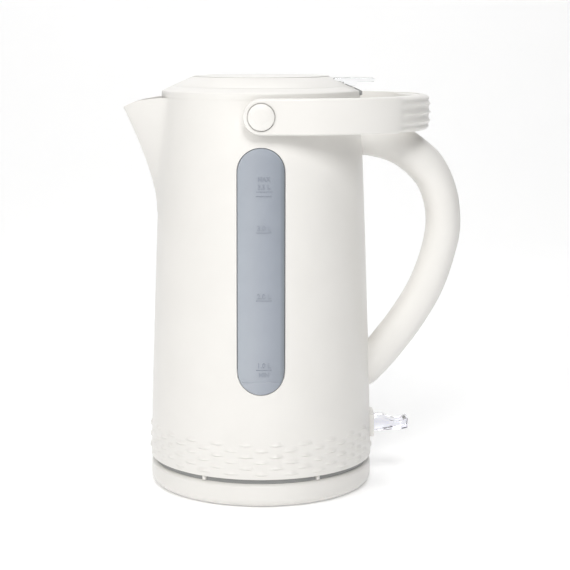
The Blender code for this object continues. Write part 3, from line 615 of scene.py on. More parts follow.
def make_shell():
    """The body's wall with its spout, scales, window openings and switch slot."""
    angles, step = shell_angles()
    levels, spout_low = shell_levels()
    columns, rows = len(angles), len(levels)
    sheets = []  # for each vertex: outer point, plain point without relief

    def grid_point(j, i):
        angle, z = angles[j], levels[i]
        if z > spout_low:
            share = (z - spout_low) / (BODY_TOP - spout_low)
            z = spout_low + share * (lip_height(angle) - spout_low)
        radius = outer_radius(angle, z)
        plain = around(angle, radius, z)
        return around(angle, radius + scale_relief(angle, z), z), plain

    def near(angle, centre, half, slack=1e-6):
        return abs(wrapped(angle - centre)) <= half + slack

    window_half, slot_half = 16 * step, 8 * step
    patch_low, patch_high = 0.0695, 0.2655  # heights between which the window's rings lie
    window_rows = [i for i, z in enumerate(levels) if patch_low < z < patch_high]
    low_row, high_row = window_rows[0], window_rows[-1]
    reach = 0.0005
    slot_rows = [i for i, z in enumerate(levels) if BEZEL_LOW - reach < z < BEZEL_HIGH + reach]
    slot_low, slot_high = slot_rows[0], slot_rows[-1]
    levels[slot_low], levels[slot_high] = BEZEL_LOW - GAP, BEZEL_HIGH + GAP
    centres = (math.pi / 2, 3 * math.pi / 2)

    def hidden(j, i):
        if low_row < i < high_row and any(near(angles[j], c, window_half, -1e-6) for c in centres):
            return True
        return slot_low < i < slot_high and near(angles[j], math.pi, slot_half, -1e-6)

    index = {}
    for i in range(rows):
        for j in range(columns):
            if not hidden(j, i):
                index[j, i] = len(sheets)
                sheets.append(grid_point(j, i))
    faces = []
    for i in range(rows - 1):
        for j in range(columns):
            k = (j + 1) % columns
            middle = angles[j] + step / 4
            if low_row <= i < high_row and any(near(middle, c, window_half) for c in centres):
                continue
            if slot_low <= i < slot_high and near(middle, math.pi, slot_half):
                continue
            faces.append((index[j, i], index[k, i], index[k, i + 1], index[j, i + 1]))

    # Rings of faces around each window, from the grid in to the stadium outline
    shares = (1.0, 0.72, 0.48, 0.28, 0.14, 0.06, 0.025, 0.0)
    for centre, side in zip(centres, (-1, 1)):
        inside = [j for j in range(columns) if near(angles[j], centre, window_half)]
        loop = [(j, low_row) for j in inside]
        loop += [(inside[-1], i) for i in range(low_row + 1, high_row)]
        loop += [(j, high_row) for j in reversed(inside)]
        loop += [(inside[0], i) for i in range(high_row - 1, low_row, -1)]
        outer = [sheets[index[key]][0] for key in loop]
        targets = [stadium_target(p.x, p.z) for p in outer]
        ring = [index[key] for key in loop]
        for share in shares[1:]:
            new_ring = []
            for p, (x0, z0) in zip(outer, targets):
                x, z = x0 + (p.x - x0) * share, z0 + (p.z - z0) * share
                point = Vector((x, side * math.sqrt(body_radius(z) ** 2 - x * x), z))
                new_ring.append(len(sheets))
                sheets.append((point, point.copy()))
            for a in range(len(ring)):
                b = (a + 1) % len(ring)
                faces.append((ring[a], ring[b], new_ring[b], new_ring[a]))
            ring = new_ring

    # The inner skin lies one wall in from the plain outer one
    plain = bmesh.new()
    verts = [plain.verts.new(pair[1]) for pair in sheets]
    for face in faces:
        plain.faces.new([verts[v] for v in face])
    bmesh.ops.recalc_face_normals(plain, faces=plain.faces)
    plain.normal_update()
    sign = 1.0 if verts[0].normal.dot(Vector((verts[0].co.x, verts[0].co.y, 0))) > 0 else -1.0
    inner = []
    for vert in verts:
        point = vert.co - vert.normal * sign * WALL
        point.z = vert.co.z if (vert.is_boundary and len(vert.link_faces) < 3) else point.z
        inner.append(point)
    top, bottom = ({index[j, i] for j in range(columns)} for i in (rows - 1, 0))
    for v in top | bottom:
        inner[v].z = sheets[v][1].z
    plain.free()

    bm = bmesh.new()
    out = [bm.verts.new(pair[0]) for pair in sheets]
    back = [bm.verts.new(point) for point in inner]
    weight = bm.edges.layers.float.new("bevel_weight_edge")
    for face in faces:
        bm.faces.new([out[v] for v in face])
        bm.faces.new([back[v] for v in reversed(face)])
    number = {vert: v for v, vert in enumerate(out)}
    rims = [edge for edge in bm.edges if len(edge.link_faces) == 1 and edge.verts[0] in number]
    for edge in rims:
        a, b = (number[vert] for vert in edge.verts)
        bm.faces.new((out[a], out[b], back[b], back[a]))
        under_collar = {a, b} <= top and sheets[a][0].x > -LID_MOUTH
        edge[weight] = 0.0 if under_collar else 1.0
    bmesh.ops.recalc_face_normals(bm, faces=bm.faces)
    mesh = bpy.data.meshes.new("body_shell_look")
    bm.to_mesh(mesh)
    bm.free()
    mesh.shade_smooth()
    work = linked("work", mesh)
    add_bevel(work, RIM_BEVEL, 3)
    redo("body_shell", finished(work, 50), "kettle", "white_plastic")


# ---------------------------------------------------------------- the windows


def window_levels(half_width, low, high):
    """Heights of the pane's rows: fine over its round ends and the ledge near its foot."""
    steps = 22
    bottom = [low + half_width * (1 - math.cos(math.pi / 2 * i / steps)) for i in range(steps + 1)]
    top = [high - half_width * (1 - math.cos(math.pi / 2 * i / steps)) for i in range(steps, -1, -1)]
    straight_low, straight_high = low + half_width, high - half_width
    straight = [straight_low + (straight_high - straight_low) * i / 24 for i in range(1, 24)]
    ledge = [0.0905 + 0.00025 * i for i in range(17)]
    return sorted(set(bottom + straight + top + ledge))


def half_width_at(z, half_width, low, high):
    if z < low + half_width:
        return math.sqrt(max(half_width**2 - (low + half_width - z) ** 2, 0.0))
    if z > high - half_width:
        return math.sqrt(max(half_width**2 - (z - high + half_width) ** 2, 0.0))
    return half_width


def pane_bmesh(side, gap, depth_at, back_depth):
    """A stadium-shaped plate in the body's wall, its front at a depth that varies."""
    half_width, low, high = WINDOW_HALF_WIDTH - gap, WINDOW_LOW + gap, WINDOW_HIGH - gap
    shares = [-1, -0.99, -0.975, -0.95, -0.9, -0.8, -0.65, -0.5, -0.35, -0.2, -0.1]
    shares = shares + [0.0] + [-s for s in reversed(shares)]
    levels = window_levels(half_width, low, high)
    bm = bmesh.new()

    def sheet(depth_of):
        rows = []
        for z in levels:
            wide = half_width_at(z, half_width, low, high)
            row = []
            for share in shares:
                x = share * wide
                radius = body_radius(z)
                turn = math.asin(x / radius)
                nearest = min(max(z, low + half_width), high - half_width)
                radius -= depth_of(x, z, half_width - math.hypot(x, z - nearest))
                row.append(bm.verts.new((radius * math.sin(turn), side * radius * math.cos(turn), z)))
            rows.append(row)
        return rows

    front, back = sheet(depth_at), sheet(lambda x, z, rim: back_depth)
    last = len(shares) - 1
    for i in range(len(levels) - 1):
        for j in range(last):
            bm.faces.new((front[i][j], front[i][j + 1], front[i + 1][j + 1], front[i + 1][j]))
            bm.faces.new((back[i][j], back[i + 1][j], back[i + 1][j + 1], back[i][j + 1]))
        for j in (0, last):
            bm.faces.new((front[i][j], front[i + 1][j], back[i + 1][j], back[i][j]))
    for i in (0, len(levels) - 1):
        for j in range(last):
            bm.faces.new((front[i][j], back[i][j], back[i][j + 1], front[i][j + 1]))
    bmesh.ops.remove_doubles(bm, verts=bm.verts, dist=1e-6)
    bmesh.ops.dissolve_degenerate(bm, dist=1e-6, edges=bm.edges)
    return bm


def pane_depth(x, z, rim):
    """Depth of the pane's front below the body's surface: recessed, with a ledge near its foot."""
    recess = 0.0002 + 0.0009 * smooth_step((z - 0.0918) / 0.0010)
    edge = 0.0006
    if rim < edge:
        fall = 1 - max(rim, 0.0) / edge
        recess += edge * (1 - math.sqrt(max(1 - fall * fall, 0.0)))
    return recess


def on_pane(x, z, raised, side):
    """A point on the pane's front, seen from outside with x to the right."""
    radius = body_radius(z) - pane_depth(x, z, 1.0) + raised
    turn = x / radius
    return Vector((-side * radius * math.sin(turn), side * radius * math.cos(turn), z))


def bar_on_pane(bm, x0, x1, z0, z1, side, raise_by=0.00028):
    """A raised bar, bent with the pane."""
    steps = 8
    low, high = [], []
    for i in range(steps + 1):
        x = x0 + (x1 - x0) * i / steps
        low.append([bm.verts.new(on_pane(x, z, -0.0003, side)) for z in (z0, z1)])
        inset = 0.00008
        high.append([bm.verts.new(on_pane(x, z, raise_by, side)) for z in (z0 + inset, z1 - inset)])
    for i in range(steps):
        bm.faces.new((high[i][0], high[i + 1][0], high[i + 1][1], high[i][1]))
        bm.faces.new((low[i][0], low[i][1], low[i + 1][1], low[i + 1][0]))
        for k in (0, 1):
            bm.faces.new((low[i][k], low[i + 1][k], high[i + 1][k], high[i][k]))
    for i in (0, steps):
        bm.faces.new((low[i][0], low[i][1], high[i][1], high[i][0]))


def text_on_pane(bm, text, x0, z0, size, side):
    """Raised generic scale text, from Blender's own plain font, bent with the pane."""
    curve = bpy.data.curves.new("scale_text", "FONT")
    curve.body = text
    curve.size = size
    curve.extrude = 0.0003
    curve.offset = 0.00006
    curve.align_x = "CENTER"
    curve.resolution_u = 4
    item = linked("scale_text", curve)
    mesh = evaluated_mesh(item)
    bpy.data.objects.remove(item, do_unlink=True)
    verts = []
    for vert in mesh.vertices:
        x, z, out = vert.co
        verts.append(bm.verts.new(on_pane(x0 + x, z0 + z, out - 0.00002, side)))
    for face in mesh.polygons:
        try:
            bm.faces.new([verts[v] for v in face.vertices])
        except ValueError:
            continue
    bpy.data.meshes.remove(mesh)


def make_window(name, side):
    pane = pane_bmesh(side, GAP, pane_depth, WALL + 0.0016)
    redo(name, mesh_from(f"{name}_look", pane, 50.0), "kettle", "window_plastic")
    flange = pane_bmesh(side, -WINDOW_FLANGE, lambda x, z, rim: WALL + 0.0006, WALL + 0.0020)
    mesh = mesh_from(f"{name}_flange", flange, 50.0)
    new_piece(f"{name}_flange", mesh, "kettle", "window_plastic")

    marks = bmesh.new()
    centre, half, thin = 0.0020, 0.0056, 0.0003
    for level in (0.2247, 0.1990, 0.1508, 0.1012):
        bar_on_pane(marks, centre - half, centre + half, level - thin, level + thin, side)
    bar_on_pane(marks, centre - half, centre + half, 0.2275, 0.2280, side)
    words = (("MAX", 0.2352, 0.0042), ("3.5 L", 0.2296, 0.0046), ("3.0 L", 0.2005, 0.0050),
             ("2.0 L", 0.1523, 0.0050), ("1.0 L", 0.1027, 0.0050), ("MIN", 0.0964, 0.0042))
    for text, level, size in words:
        text_on_pane(marks, text, centre, level, size, side)
    mesh = mesh_from(f"{name}_marks", marks, flat=True)
    # The marks take the darker look: painted shade of engraved grooves
    new_piece(f"{name}_marks", mesh, "kettle", "window_plastic", PAINTED_GROOVE_SHADE_MARK)


# ---------------------------------------------------------------- base, ring and inside parts


def make_base():
    cover = [
        (0.0145, BASE_TOP, 0.0004),
        (0.0806, BASE_TOP, 0.0010),
        (BASE_RADIUS, BASE_TOP - 0.0016, 0.0022),
        (BASE_RADIUS, 0.0044, 0.0040),
        (0.0806, 0.0014, 0.0012),
        (0.0787, 0.0013),
        (0.0787, 0.0036),
        (0.0811, 0.0072),
        (0.0811, BASE_TOP - 0.0036, 0.0012),
        (0.0796, BASE_TOP - WALL),
        (0.0145, BASE_TOP - WALL, 0.0004),
    ]
    mesh = turned_mesh("base_cover_look", cover)
    hole = turned_bmesh([(0.0, 0.010), (0.0048, 0.010), (0.0048, -0.011), (0.0, -0.011)],
                        ROUND_PIN, False)
    turn = Matrix.Translation((0, 0.0800, 0.0098)) @ Matrix.Rotation(math.radians(-90), 4, "X")
    mesh = cut_mesh(mesh, [moved(hole, turn)], "base_cover_look")
    redo("base_cover", mesh, "base", "white_plastic")

    plate = [(0.0, 0.0038), (0.0782, 0.0038, 0.0004), (0.0782, 0.0016, 0.0005), (0.0, 0.0016)]
    redo_turned("base_bottom_plate", plate, "base", "white_plastic", closed=False)

    places = {f"base_foot_{i + 1}": math.radians(45 + 90 * i) for i in range(4)}
    spread = 0.064
    spots = {name: (spread * math.cos(a), spread * math.sin(a)) for name, a in places.items()}
    spots["base_foot_center"] = (0.0, 0.0)
    foot = [(0.0, 0.0013), (0.0078, 0.0013, 0.0002), (0.0070, 0.0, 0.0003), (0.0046, 0.0),
            (0.0044, 0.0004), (0.0, 0.0004)]
    for name, (x, y) in spots.items():
        place = Matrix.Translation((x, y, 0))
        redo_turned(name, foot, "base", "silicone_rubber", ROUND_PIN, False, place)

    tower = [
        (0.0, 0.0315),
        (0.0050, 0.0315, 0.0005),
        (0.0050, 0.0240),
        (0.0085, 0.0240),
        (0.0085, 0.0315, 0.0003),
        (0.0126, 0.0315, 0.0010),
        (TOWER_RADIUS, 0.0300, 0.0010),
        (TOWER_RADIUS, 0.0149),
        (0.0180, 0.0149, 0.0004),
        (0.0180, 0.0120, 0.0004),
        (TOWER_RADIUS, 0.0120),
        (TOWER_RADIUS, 0.0041),
        (0.0, 0.0041),
    ]
    redo_turned("base_connector_tower", tower, "base", "black_plastic", ROUND_SMALL, False)
    contact = [(0.0082, 0.0302, 0.0003), (0.0082, 0.0243), (0.0070, 0.0243),
               (0.0070, 0.0302, 0.0003)]
    redo_turned("base_contact_ring", contact, "base", "brass", ROUND_SMALL)


def make_foot():
    low, high = BASE_TOP + GAP, BODY_BOTTOM - GAP
    ring = [(0.0812, high), (0.0812, low), (0.0780, low), (0.0780, high)]
    redo_turned("foot_ring", ring, "kettle", "dark_plastic")
    ribs = bmesh.new()
    for i in range(6):
        rib = box_bmesh((0.0805, -0.0012, low + 0.0003), (0.0829, 0.0012, high - 0.0003))
        moved(rib, Matrix.Rotation(math.radians(60 * i), 4, "Z"))
        piece = bpy.data.meshes.new("rib")
        rib.to_mesh(piece)
        rib.free()
        ribs.from_mesh(piece)
        bpy.data.meshes.remove(piece)
    new_piece("foot_ring_ribs", mesh_from("foot_ring_ribs", ribs), "kettle", "white_plastic")

    cover = [(0.0776, low + 0.0024, 0.0004), (0.0776, low, 0.0006), (0.0206, low, 0.0004),
             (0.0206, low + 0.0024)]
    redo_turned("bottom_cover", cover, "kettle", "black_plastic")

    socket = [
        (0.0, 0.0350),
        (SOCKET_RADIUS, 0.0350, 0.0006),
        (SOCKET_RADIUS, 0.0185, 0.0004),
        (TOWER_RADIUS + 0.0006, 0.0185, 0.0004),
        (TOWER_RADIUS + 0.0006, 0.0320),
        (0.0, 0.0320),
    ]
    redo_turned("kettle_connector", socket, "socket", "black_plastic", ROUND_SMALL, False)


def make_inside():
    floor = WATER_FLOOR
    plate = [
        (0.0, floor),
        (0.0775, floor, 0.0012),
        (0.0784, floor - 0.0014, 0.0006),
        (0.0784, floor - 0.0070),
        (0.0772, floor - 0.0070),
        (0.0772, floor - 0.0018, 0.0004),
        (0.0764, floor - 0.0012),
        (0.0, floor - 0.0012),
    ]
    redo_turned("heating_plate", plate, "kettle", "stainless_steel", closed=False)
    seal = [(0.0798, floor - 0.0010), (0.0798, floor - 0.0066), (0.0788, floor - 0.0066),
            (0.0788, floor - 0.0010)]
    redo_turned("plate_seal", seal, "kettle", "silicone_rubber")
    tube = [(0.0042, 0.2820, 0.0004), (0.0042, 0.0512), (0.0030, 0.0512), (0.0030, 0.2820, 0.0004)]
    place = Matrix.Translation((0.0640, 0, 0))
    redo_turned("steam_tube", tube, "kettle", "white_plastic", ROUND_PIN, place=place)

    near, far, low, high = 0.0652, 0.0668, 0.2440, 0.2880
    half_turn, columns = math.radians(21), 40
    rings = []
    for i in range(columns + 1):
        turn = half_turn * (2 * i / columns - 1)
        corners = ((far, low), (far, high), (near, high), (near, low))
        rings.append([around(turn, r, z) for r, z in corners])
    screen = mesh_from("spout_filter_look", loft_bmesh(rings))
    slits = []
    for i in range(7):
        slit = box_bmesh((-0.075, -0.0014, low + 0.004), (-0.060, 0.0014, high - 0.005))
        slits.append(moved(slit, Matrix.Rotation(math.radians(5.2 * (i - 3)), 4, "Z")))
    mesh = cut_mesh(screen, slits, "spout_filter_look", MOULD_BEVEL)
    redo("spout_filter", mesh, "kettle", "window_plastic")


# ---------------------------------------------------------------- the top: collar, lid, lever


def make_collar():
    spigot = 0.0702
    corners = [
        (LID_RADIUS + 0.0002, LID_SEAM),
        (RIM_RADIUS, RIM_TOP, 0.0012),
        (body_radius(BODY_TOP), BODY_TOP + SEAM),
        (spigot, BODY_TOP + SEAM),
        (spigot, 0.2850, 0.0004),
        (spigot - 0.0022, 0.2850, 0.0004),
        (spigot - 0.0022, 0.2905),
        (LID_MOUTH, 0.2905, 0.0004),
        (LID_MOUTH, LID_SEAM - 0.0012, 0.0005),
        (0.0640, LID_SEAM, 0.0004),
    ]
    collar = turned_mesh("top_collar_look", corners)
    channel, pocket = 0.0285, POCKET_HALF_WIDTH
    cutters = [
        box_bmesh((-0.080, -channel, 0.280), (-0.052, channel, BODY_TOP)),
        box_bmesh((0.050, -pocket, 0.280), (0.080, pocket, 0.305)),
    ]
    mesh = cut_mesh(collar, cutters, "top_collar_look", MOULD_BEVEL)
    redo("top_collar", mesh, "kettle", "white_plastic")


def make_lid():
    thick, disc, step, shadow_gap = 0.0020, LID_FLAT - 0.0003, 0.0004, 0.00012
    shoulder = LID_TOP - step - shadow_gap
    corners = [
        (0.0, LID_TOP),
        (disc, LID_TOP, 0.0003),
        (disc, LID_TOP - step),
        (disc - 0.0008, LID_TOP - step),
        (disc - 0.0008, shoulder),
        (LID_FLAT + 0.0002, shoulder, 0.0005),
        (LID_RADIUS + 0.0002, LID_SEAM + SEAM),
        (LID_RADIUS - 0.0045, LID_SEAM + SEAM),
        (LID_FLAT, LID_TOP - thick - 0.0010),
        (0.0, LID_TOP - thick - 0.0010),
    ]
    cover = turned_mesh("lid_cover_look", corners, ROUND, False)
    width = LEVER_HALF_WIDTH + GAP
    slot = box_bmesh((LEVER_START - GAP, -width, LID_SEAM - 0.001), (0.080, width, 0.310))
    mesh = cut_mesh(cover, [slot], "lid_cover_look", MOULD_BEVEL)
    redo("lid_cover", mesh, "lid", "white_plastic")

    gasket = [(0.0602, 0.2956, 0.0005), (0.0602, 0.2939, 0.0005), (0.0578, 0.2939),
              (0.0578, 0.2956)]
    redo_turned("lid_gasket", gasket, "lid", "silicone_rubber")

    outline = rounded([
        (LEVER_START, LEVER_LOW + 0.0008, 0.0004),
        (0.0605, LEVER_LOW),
        (0.0610, 0.2996),
        (0.0690, 0.2996),
        (0.0705, LEVER_LOW, 0.0008),
        (LEVER_END, LEVER_LOW + 0.0002, 0.0010),
        (LEVER_END, LEVER_HIGH - 0.0002, 0.0012),
        (LEVER_START, LEVER_HIGH - 0.0002, 0.0008),
    ])
    width = LEVER_HALF_WIDTH
    rings = [[Vector((p.x, y, p.y)) for p in outline] for y in (-width, width)]
    mesh = soften_edges(mesh_from("lid_lever_look", loft_bmesh(rings)), 0.0005, 60, 3)
    redo("lid_lever", mesh, "lid", "clear_plastic")

    # A dark block under the lever's root is painted shadow: the shade of the hinge pocket, shown as a
    # strip along the lid's slope
    half = 0.0092
    outline = [(0.0620, 0.2984), (0.0620, 0.3014), (0.0655, 0.3000), (0.0745, 0.2958),
               (0.0745, 0.2930), (0.0700, 0.2915)]
    rings = [[Vector((x, y, z)) for x, z in outline] for y in (-half, half)]
    mesh = soften_edges(mesh_from("lid_lever_painted_shadow", loft_bmesh(rings)), MOULD_BEVEL, 30)
    new_piece("lid_lever_painted_shadow", mesh, "lid", "dark_plastic")


# ---------------------------------------------------------------- the handle and the switch


def spline(points, steps):
    """Points along a smooth curve through the given points, as a Catmull-Rom spline."""
    ends = [2 * points[0] - points[1], *points, 2 * points[-1] - points[-2]]
    out = []
    for i in range(len(points) - 1):
        a, b, c, d = ends[i : i + 4]
        for j in range(steps):
            t = j / steps
            square, cube = 2 * a - 5 * b + 4 * c - d, 3 * b - a - 3 * c + d
            out.append(0.5 * (2 * b + (c - a) * t + square * t * t + cube * t**3))
    return [*out, points[-1]]


def handle_ring(outer, inner, side, arc_steps=20):
    """A C-shaped section of one handle half: an outer half oval, then an inner one back."""
    centre, half = (outer + inner) / 2, (outer - inner) / 2
    ring = []
    steps = range(arc_steps + 1)
    for wall, order in ((0.0, steps), (HANDLE_WALL, reversed(steps))):
        shrink = 1 - wall / half.length
        for j in order:
            turn = math.pi * j / arc_steps
            across = (HANDLE_HALF_WIDTH - wall) * math.sin(turn) + GAP / 2
            spot = centre + half * shrink * math.cos(turn)
            ring.append(Vector((spot.x, side * across, spot.y)))
    return ring


def seat_on_wall(ring):
    """The ring laid on the body's round wall and sunk into it a little."""
    return [
        Vector((math.sqrt(body_radius(p.z) ** 2 - p.y * p.y) - SEAT_DEPTH, p.y, p.z)) for p in ring
    ]


def make_handle():
    outer = spline([Vector(row[0]) for row in HANDLE_STATIONS], 8)
    inner = spline([Vector(row[1]) for row in HANDLE_STATIONS], 8)
    for name, side in (("handle_left", -1), ("handle_right", 1)):
        rings = [handle_ring(a, b, side) for a, b in zip(outer, inner)]
        rings[0], rings[-1] = seat_on_wall(rings[0]), seat_on_wall(rings[-1])
        mesh = soften_edges(mesh_from(f"{name}_look", loft_bmesh(rings), 60), 0.0002, 60)
        redo(name, mesh, "kettle", "white_plastic")


def make_switch():
    half, start, end = BEZEL_HALF_WIDTH, 0.0806, 0.0860
    inside = SWITCH_HALF_WIDTH + 0.0008
    outline = rounded([(-half, BEZEL_LOW, 0.0015), (half, BEZEL_LOW, 0.0015),
                       (half, BEZEL_HIGH, 0.0015), (-half, BEZEL_HIGH, 0.0015)])
    rings = [[Vector((x, p.x, p.y)) for p in outline] for x in (start, end)]
    opening = box_bmesh((0.070, -inside, BEZEL_LOW + 0.0015), (0.095, inside, BEZEL_HIGH - 0.0015))
    mesh = cut_mesh(mesh_from("bezel", loft_bmesh(rings)), [opening], "switch_bezel_look", 0.0004)
    redo("switch_bezel", mesh, "kettle", "white_plastic")

    top = [(0.0805, 0.0455), (0.0845, 0.0480), (0.0900, 0.0486), (0.0950, 0.0478),
           (0.0990, 0.0462), (0.1040, 0.0452), (0.1075, 0.0462), (0.1105, 0.0478), (0.1122, 0.0474)]
    low = [(0.1118, 0.0400), (0.1060, 0.0392), (0.0975, 0.0386), (0.0900, 0.0383),
           (0.0840, 0.0385)]
    outline = spline([Vector(p) for p in top], 4) + spline([Vector(p) for p in low], 4)
    outline += [Vector(p) for p in ((0.0745, 0.0372), (0.0745, 0.0402), (0.0800, 0.0412))]
    width, chamfer, middle = SWITCH_HALF_WIDTH, 0.0004, Vector((0.094, 0.0433))
    rings = []
    for y, inset in ((-width, chamfer), (-width + chamfer, 0.0), (width - chamfer, 0.0),
                     (width, chamfer)):
        shrink = 1 - inset / 0.005
        ring = []
        for p in outline:
            off = p.x - middle.x
            x = p.x - math.copysign(min(inset, abs(off)), off)
            ring.append(Vector((x, y, middle.y + (p.y - middle.y) * shrink)))
        rings.append(ring)
    mesh = mesh_from("switch_lever_look", loft_bmesh(rings), 45)
    redo("switch_lever", mesh, "switch", "clear_plastic", CLEAR_SWITCH)


# ---------------------------------------------------------------- the bail


def bail_path(reach, half_width, turn):
    return Vector((BAIL_BEND + (reach - BAIL_BEND) * math.sin(turn), half_width * math.cos(turn)))


def grip_share(turn):
    """How far into the ribbed grip a place on the bail is, from 0 to 1."""
    return smooth_step((math.sin(turn) - 0.72) / 0.09)


def rib_profile(height):
    """Depth of the grip's flutes at a height from the middle: sharp crests between shallow dishes."""
    pitch, depth = 0.0062, 0.0018
    phase = (height / pitch) % 1.0
    return depth * math.sin(math.pi * phase) ** 0.6


def band_section(outer, inner, half_height, ribbed):
    """A band's section: its outer face may carry flutes, and its corners are rounded."""
    levels = 53
    corner = 0.0016 + 0.0058 * ribbed
    across = (inner - outer).normalized()
    thick = (inner - outer).length
    ring = []
    for i in range(levels):
        height = half_height * (2 * i / (levels - 1) - 1)
        edge = max(abs(height) - (half_height - corner), 0.0) / corner
        depth = min(corner, thick * 0.8) * (1 - math.sqrt(max(1 - edge * edge, 0.0)))
        fluted = ribbed * rib_profile(height) * (1 - smooth_step((abs(height) - 0.0085) / 0.0022))
        spot = outer + across * (depth + fluted)
        ring.append(Vector((spot.x, spot.y, BAIL_PIVOT.z + height)))
    inset = 0.0010
    for i, (height, depth) in enumerate((
        (half_height, thick - inset * 1.2), (half_height - inset * 0.3, thick - inset * 0.3),
        (half_height - inset * 1.2, thick), (-half_height + inset * 1.2, thick),
        (-half_height + inset * 0.3, thick - inset * 0.3), (-half_height, thick - inset * 1.2),
    )):
        spot = outer + across * depth
        ring.append(Vector((spot.x, spot.y, BAIL_PIVOT.z + height)))
    return ring


def make_bail():
    frame_reach = BAIL_LINER_REACH + BAIL_LINER + GAP

    def arm(x, side):
        end = min(x, 0.0)
        half_height = math.sqrt(max(BAIL_HALF_HEIGHT**2 - end * end, 1e-8))
        outer = Vector((x, side * BAIL_OUTER_HALF_WIDTH))
        inner = Vector((x, side * BAIL_INNER_HALF_WIDTH))
        return outer, inner, half_height, 0.0

    turns = [math.radians(90 - a) for a in (1.5, 6, 12, 20, 30, 42, 56, 72, 90)]
    ends = [-BAIL_HALF_HEIGHT * math.sin(t) for t in turns]
    arm_middle, steps = 0.011, 144
    sections = [arm(x, 1) for x in (*ends, arm_middle)]
    for i in range(steps + 1):
        turn = math.pi * i / steps
        outer = bail_path(BAIL_OUTER_REACH, BAIL_OUTER_HALF_WIDTH, turn)
        inner = bail_path(frame_reach, BAIL_INNER_HALF_WIDTH, turn)
        swell = math.sin(turn) ** 4
        half_height = BAIL_HALF_HEIGHT + (BAIL_GRIP_HALF_HEIGHT - BAIL_HALF_HEIGHT) * swell
        sections.append((outer, inner, half_height, grip_share(turn)))
    sections += [arm(x, -1) for x in (arm_middle, *reversed(ends))]
    rings = [band_section(*section) for section in sections]
    mesh = mesh_from("bail_frame_look", loft_bmesh(rings), 50)
    floor, past = BAIL_OUTER_HALF_WIDTH - CAP_POCKET, 0.1
    bore, pocket = BAIL_PIN_RADIUS + GAP, BAIL_CAP_RADIUS + CAP_RING
    turn = Matrix.Translation(BAIL_PIVOT) @ Matrix.Rotation(math.radians(90), 4, "X")
    cutters = []
    for wide, low, high, round_steps in (
        (bore, -past, past, ROUND_PIN), (pocket, floor, past, ROUND_CAP),
        (pocket, -past, -floor, ROUND_CAP),
    ):
        outline = [(0.0, high), (wide, high), (wide, low), (0.0, low)]
        cutters.append(moved(turned_bmesh(outline, round_steps, False), turn))
    mesh = cut_mesh(mesh, cutters, "bail_frame_look", 0.0, 50)
    redo("bail_frame", mesh, "bail", "white_plastic")

    steps, first, last = 48, math.radians(58), math.radians(122)
    back, thin = BAIL_LINER_REACH + BAIL_LINER, 0.0012
    high = BAIL_GRIP_HALF_HEIGHT - 0.001
    rings = []
    for i in range(steps + 1):
        turn = first + (last - first) * i / steps
        outer = bail_path(back, BAIL_INNER_HALF_WIDTH - GAP, turn)
        inward = (Vector((BAIL_BEND, 0)) - outer).normalized()
        share = smooth_step(2.0 * math.sin(math.pi * i / steps))
        thick = thin + (BAIL_LINER - thin) * share
        ring = []
        fillet = min(0.0016, thick * 0.45)
        for p in rounded([(0.0, -high), (thick, -high, fillet), (thick, high, fillet), (0.0, high)]):
            spot = outer + inward * p.x
            ring.append(Vector((spot.x, spot.y, BAIL_PIVOT.z + p.y)))
        rings.append(ring)
    mesh = mesh_from("bail_grip_liner_look", loft_bmesh(rings), 50)
    redo("bail_grip_liner", mesh, "bail", "white_plastic")

    low = BAIL_OUTER_HALF_WIDTH + GAP
    foot = BAIL_OUTER_HALF_WIDTH - CAP_POCKET + GAP
    inner = BAIL_CAP_RADIUS - 0.0012
    cap = [(0.0, 0.0880), (0.0052, 0.0879, 0.003), (BAIL_CAP_RADIUS, 0.0870, 0.0010),
           (BAIL_CAP_RADIUS, foot), (inner, foot), (inner, low), (0.0, low)]
    pivot = [(0.0, 0.0846), (0.0036, 0.0846, 0.0003), (BAIL_PIN_RADIUS, 0.0842, 0.0003),
             (BAIL_PIN_RADIUS, 0.0767), (0.0095, 0.0767, 0.0004), (0.0095, 0.0744), (0.0, 0.0744)]
    for part, outline, steps, body in (
        ("cap", cap, ROUND_CAP, "bail"), ("pivot", pivot, ROUND_SMALL, "kettle")
    ):
        for end, side in (("left", -1), ("right", 1)):
            turn = Matrix.Rotation(math.radians(-90 * side), 4, "X")
            place = Matrix.Translation(BAIL_PIVOT) @ turn
            redo_turned(f"bail_{part}_{end}", outline, body, "white_plastic", steps, False, place)


# ---------------------------------------------------------------- carried-over CAD nodes


# Slots of the nodes whose packed material names none. Any other such node is white.
CAD_SLOTS = {
    "black_plastic": (
        "base_terminal_block", "base_cord_gland", "thermostat_block", "switch_housing",
    ),
    "stainless_steel": (
        "base_screw_1", "base_screw_2", "base_screw_3", "heating_element", "bimetal_disc",
        "control_screw_left", "control_screw_right", "switch_pin", "lid_hinge_pin",
    ),
    "lamp_lens": ("indicator_lamp",),
}


def paint_cad_nodes():
    """Gives every CAD node the look of the slot that its packed material names."""
    stated = {name: slot for slot, names in CAD_SLOTS.items() for name in names}
    for name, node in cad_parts.items():
        slots = [m.name.split(".")[0] for m in node.data.materials if m]
        found = next((s for s in slots if s in LOOKS), None)
        look = LOOKS[found or stated.get(name, "white_plastic")]
        node.data.materials.clear()
        node.data.materials.append(look)


# ---------------------------------------------------------------- stage, lights and camera


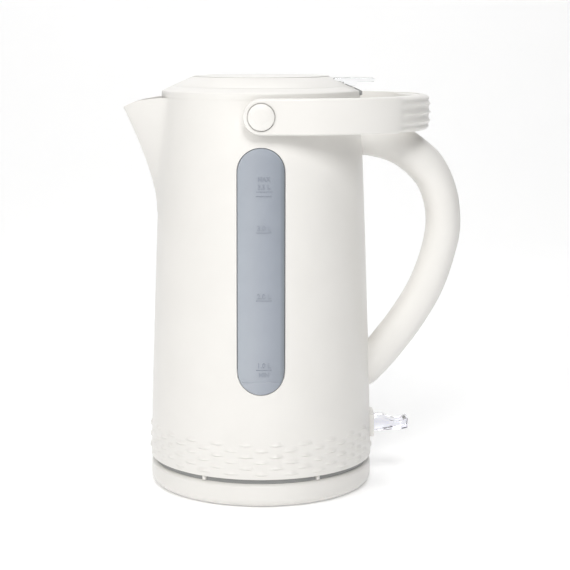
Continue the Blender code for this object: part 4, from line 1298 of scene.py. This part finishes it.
def make_stage():
    """A pale floor that curves up into a backdrop."""
    front, bend, radius, height, steps = -7.0, 1.1, 0.7, 3.4, 16
    profile = [(front, 0.0), (bend, 0.0)]
    for i in range(1, steps + 1):
        turn = math.pi / 2 * i / steps
        profile.append((bend + radius * math.sin(turn), radius * (1 - math.cos(turn))))
    profile.append((bend + radius, height))
    bm = bmesh.new()
    rows = [[bm.verts.new((x, y, z)) for x in (-6.0, 6.0)] for y, z in profile]
    for a, b in zip(rows, rows[1:]):
        bm.faces.new((a[0], a[1], b[1], b[0]))
    mesh = mesh_from("floor", bm)
    material, tree, shader, place = material_base("floor_look")
    cloud = noise_node(tree, place, 3.0)
    pale = two_tone(tree, cloud, (0.93, 0.93, 0.93), (0.94, 0.94, 0.94))
    feed(tree, shader, {"Base Color": pale})
    set_values(shader, {
        "Roughness": 0.9,
        "Specular IOR Level": 0.1,
        "Emission Color": (1.0, 1.0, 1.0, 1.0),
        "Emission Strength": 0.20,
    })
    mesh.materials.append(material)
    floor = linked("floor", mesh)


def area_light(name, place, target, size, power, colour=(1.0, 1.0, 1.0)):
    light = bpy.data.lights.new(name, "AREA")
    light.shape = "RECTANGLE"
    light.size, light.size_y = size
    light.energy = power
    light.color = colour
    item = linked(name, light)
    item.location = place
    item.rotation_euler = (Vector(target) - Vector(place)).to_track_quat("-Z", "Y").to_euler()


def make_lights():
    world = bpy.data.worlds.new("studio")
    bpy.context.scene.world = world
    world.use_nodes = True
    background = world.node_tree.nodes["Background"]
    set_values(background, {"Color": (0.97, 0.98, 1.0, 1.0), "Strength": 0.05})
    middle = (0.0, 0.0, 0.15)
    area_light("key", (-1.1, -1.5, 1.15), middle, (1.1, 1.1), 14.0, (1.0, 0.985, 0.96))
    area_light("front", (0.10, -1.53, 1.43), middle, (0.7, 0.7), 19.0)
    area_light("top", (0.0, 0.0, 2.0), middle, (1.6, 1.6), 11.0)
    area_light("backdrop", (0.0, 0.9, 2.2), (0.0, 1.7, 0.6), (2.5, 0.8), 12.5)


def make_camera():
    data = bpy.data.cameras.new("camera")
    data.lens = 97.3
    data.sensor_width = 36.0
    data.shift_x = 0.042
    data.clip_start, data.clip_end = 0.05, 30.0
    camera = linked("camera", data)
    camera.location = (0.0, -1.151, 0.3373)
    camera.rotation_euler = (math.radians(80.74), 0.0, 0.0)
    bpy.context.scene.camera = camera


make_shell()
make_window("window_left", -1)
make_window("window_right", 1)
make_base()
make_foot()
make_inside()
make_collar()
make_lid()
make_handle()
make_switch()
make_bail()
paint_cad_nodes()
make_stage()
make_lights()
make_camera()
bpy.context.scene.view_settings.view_transform = "Standard"
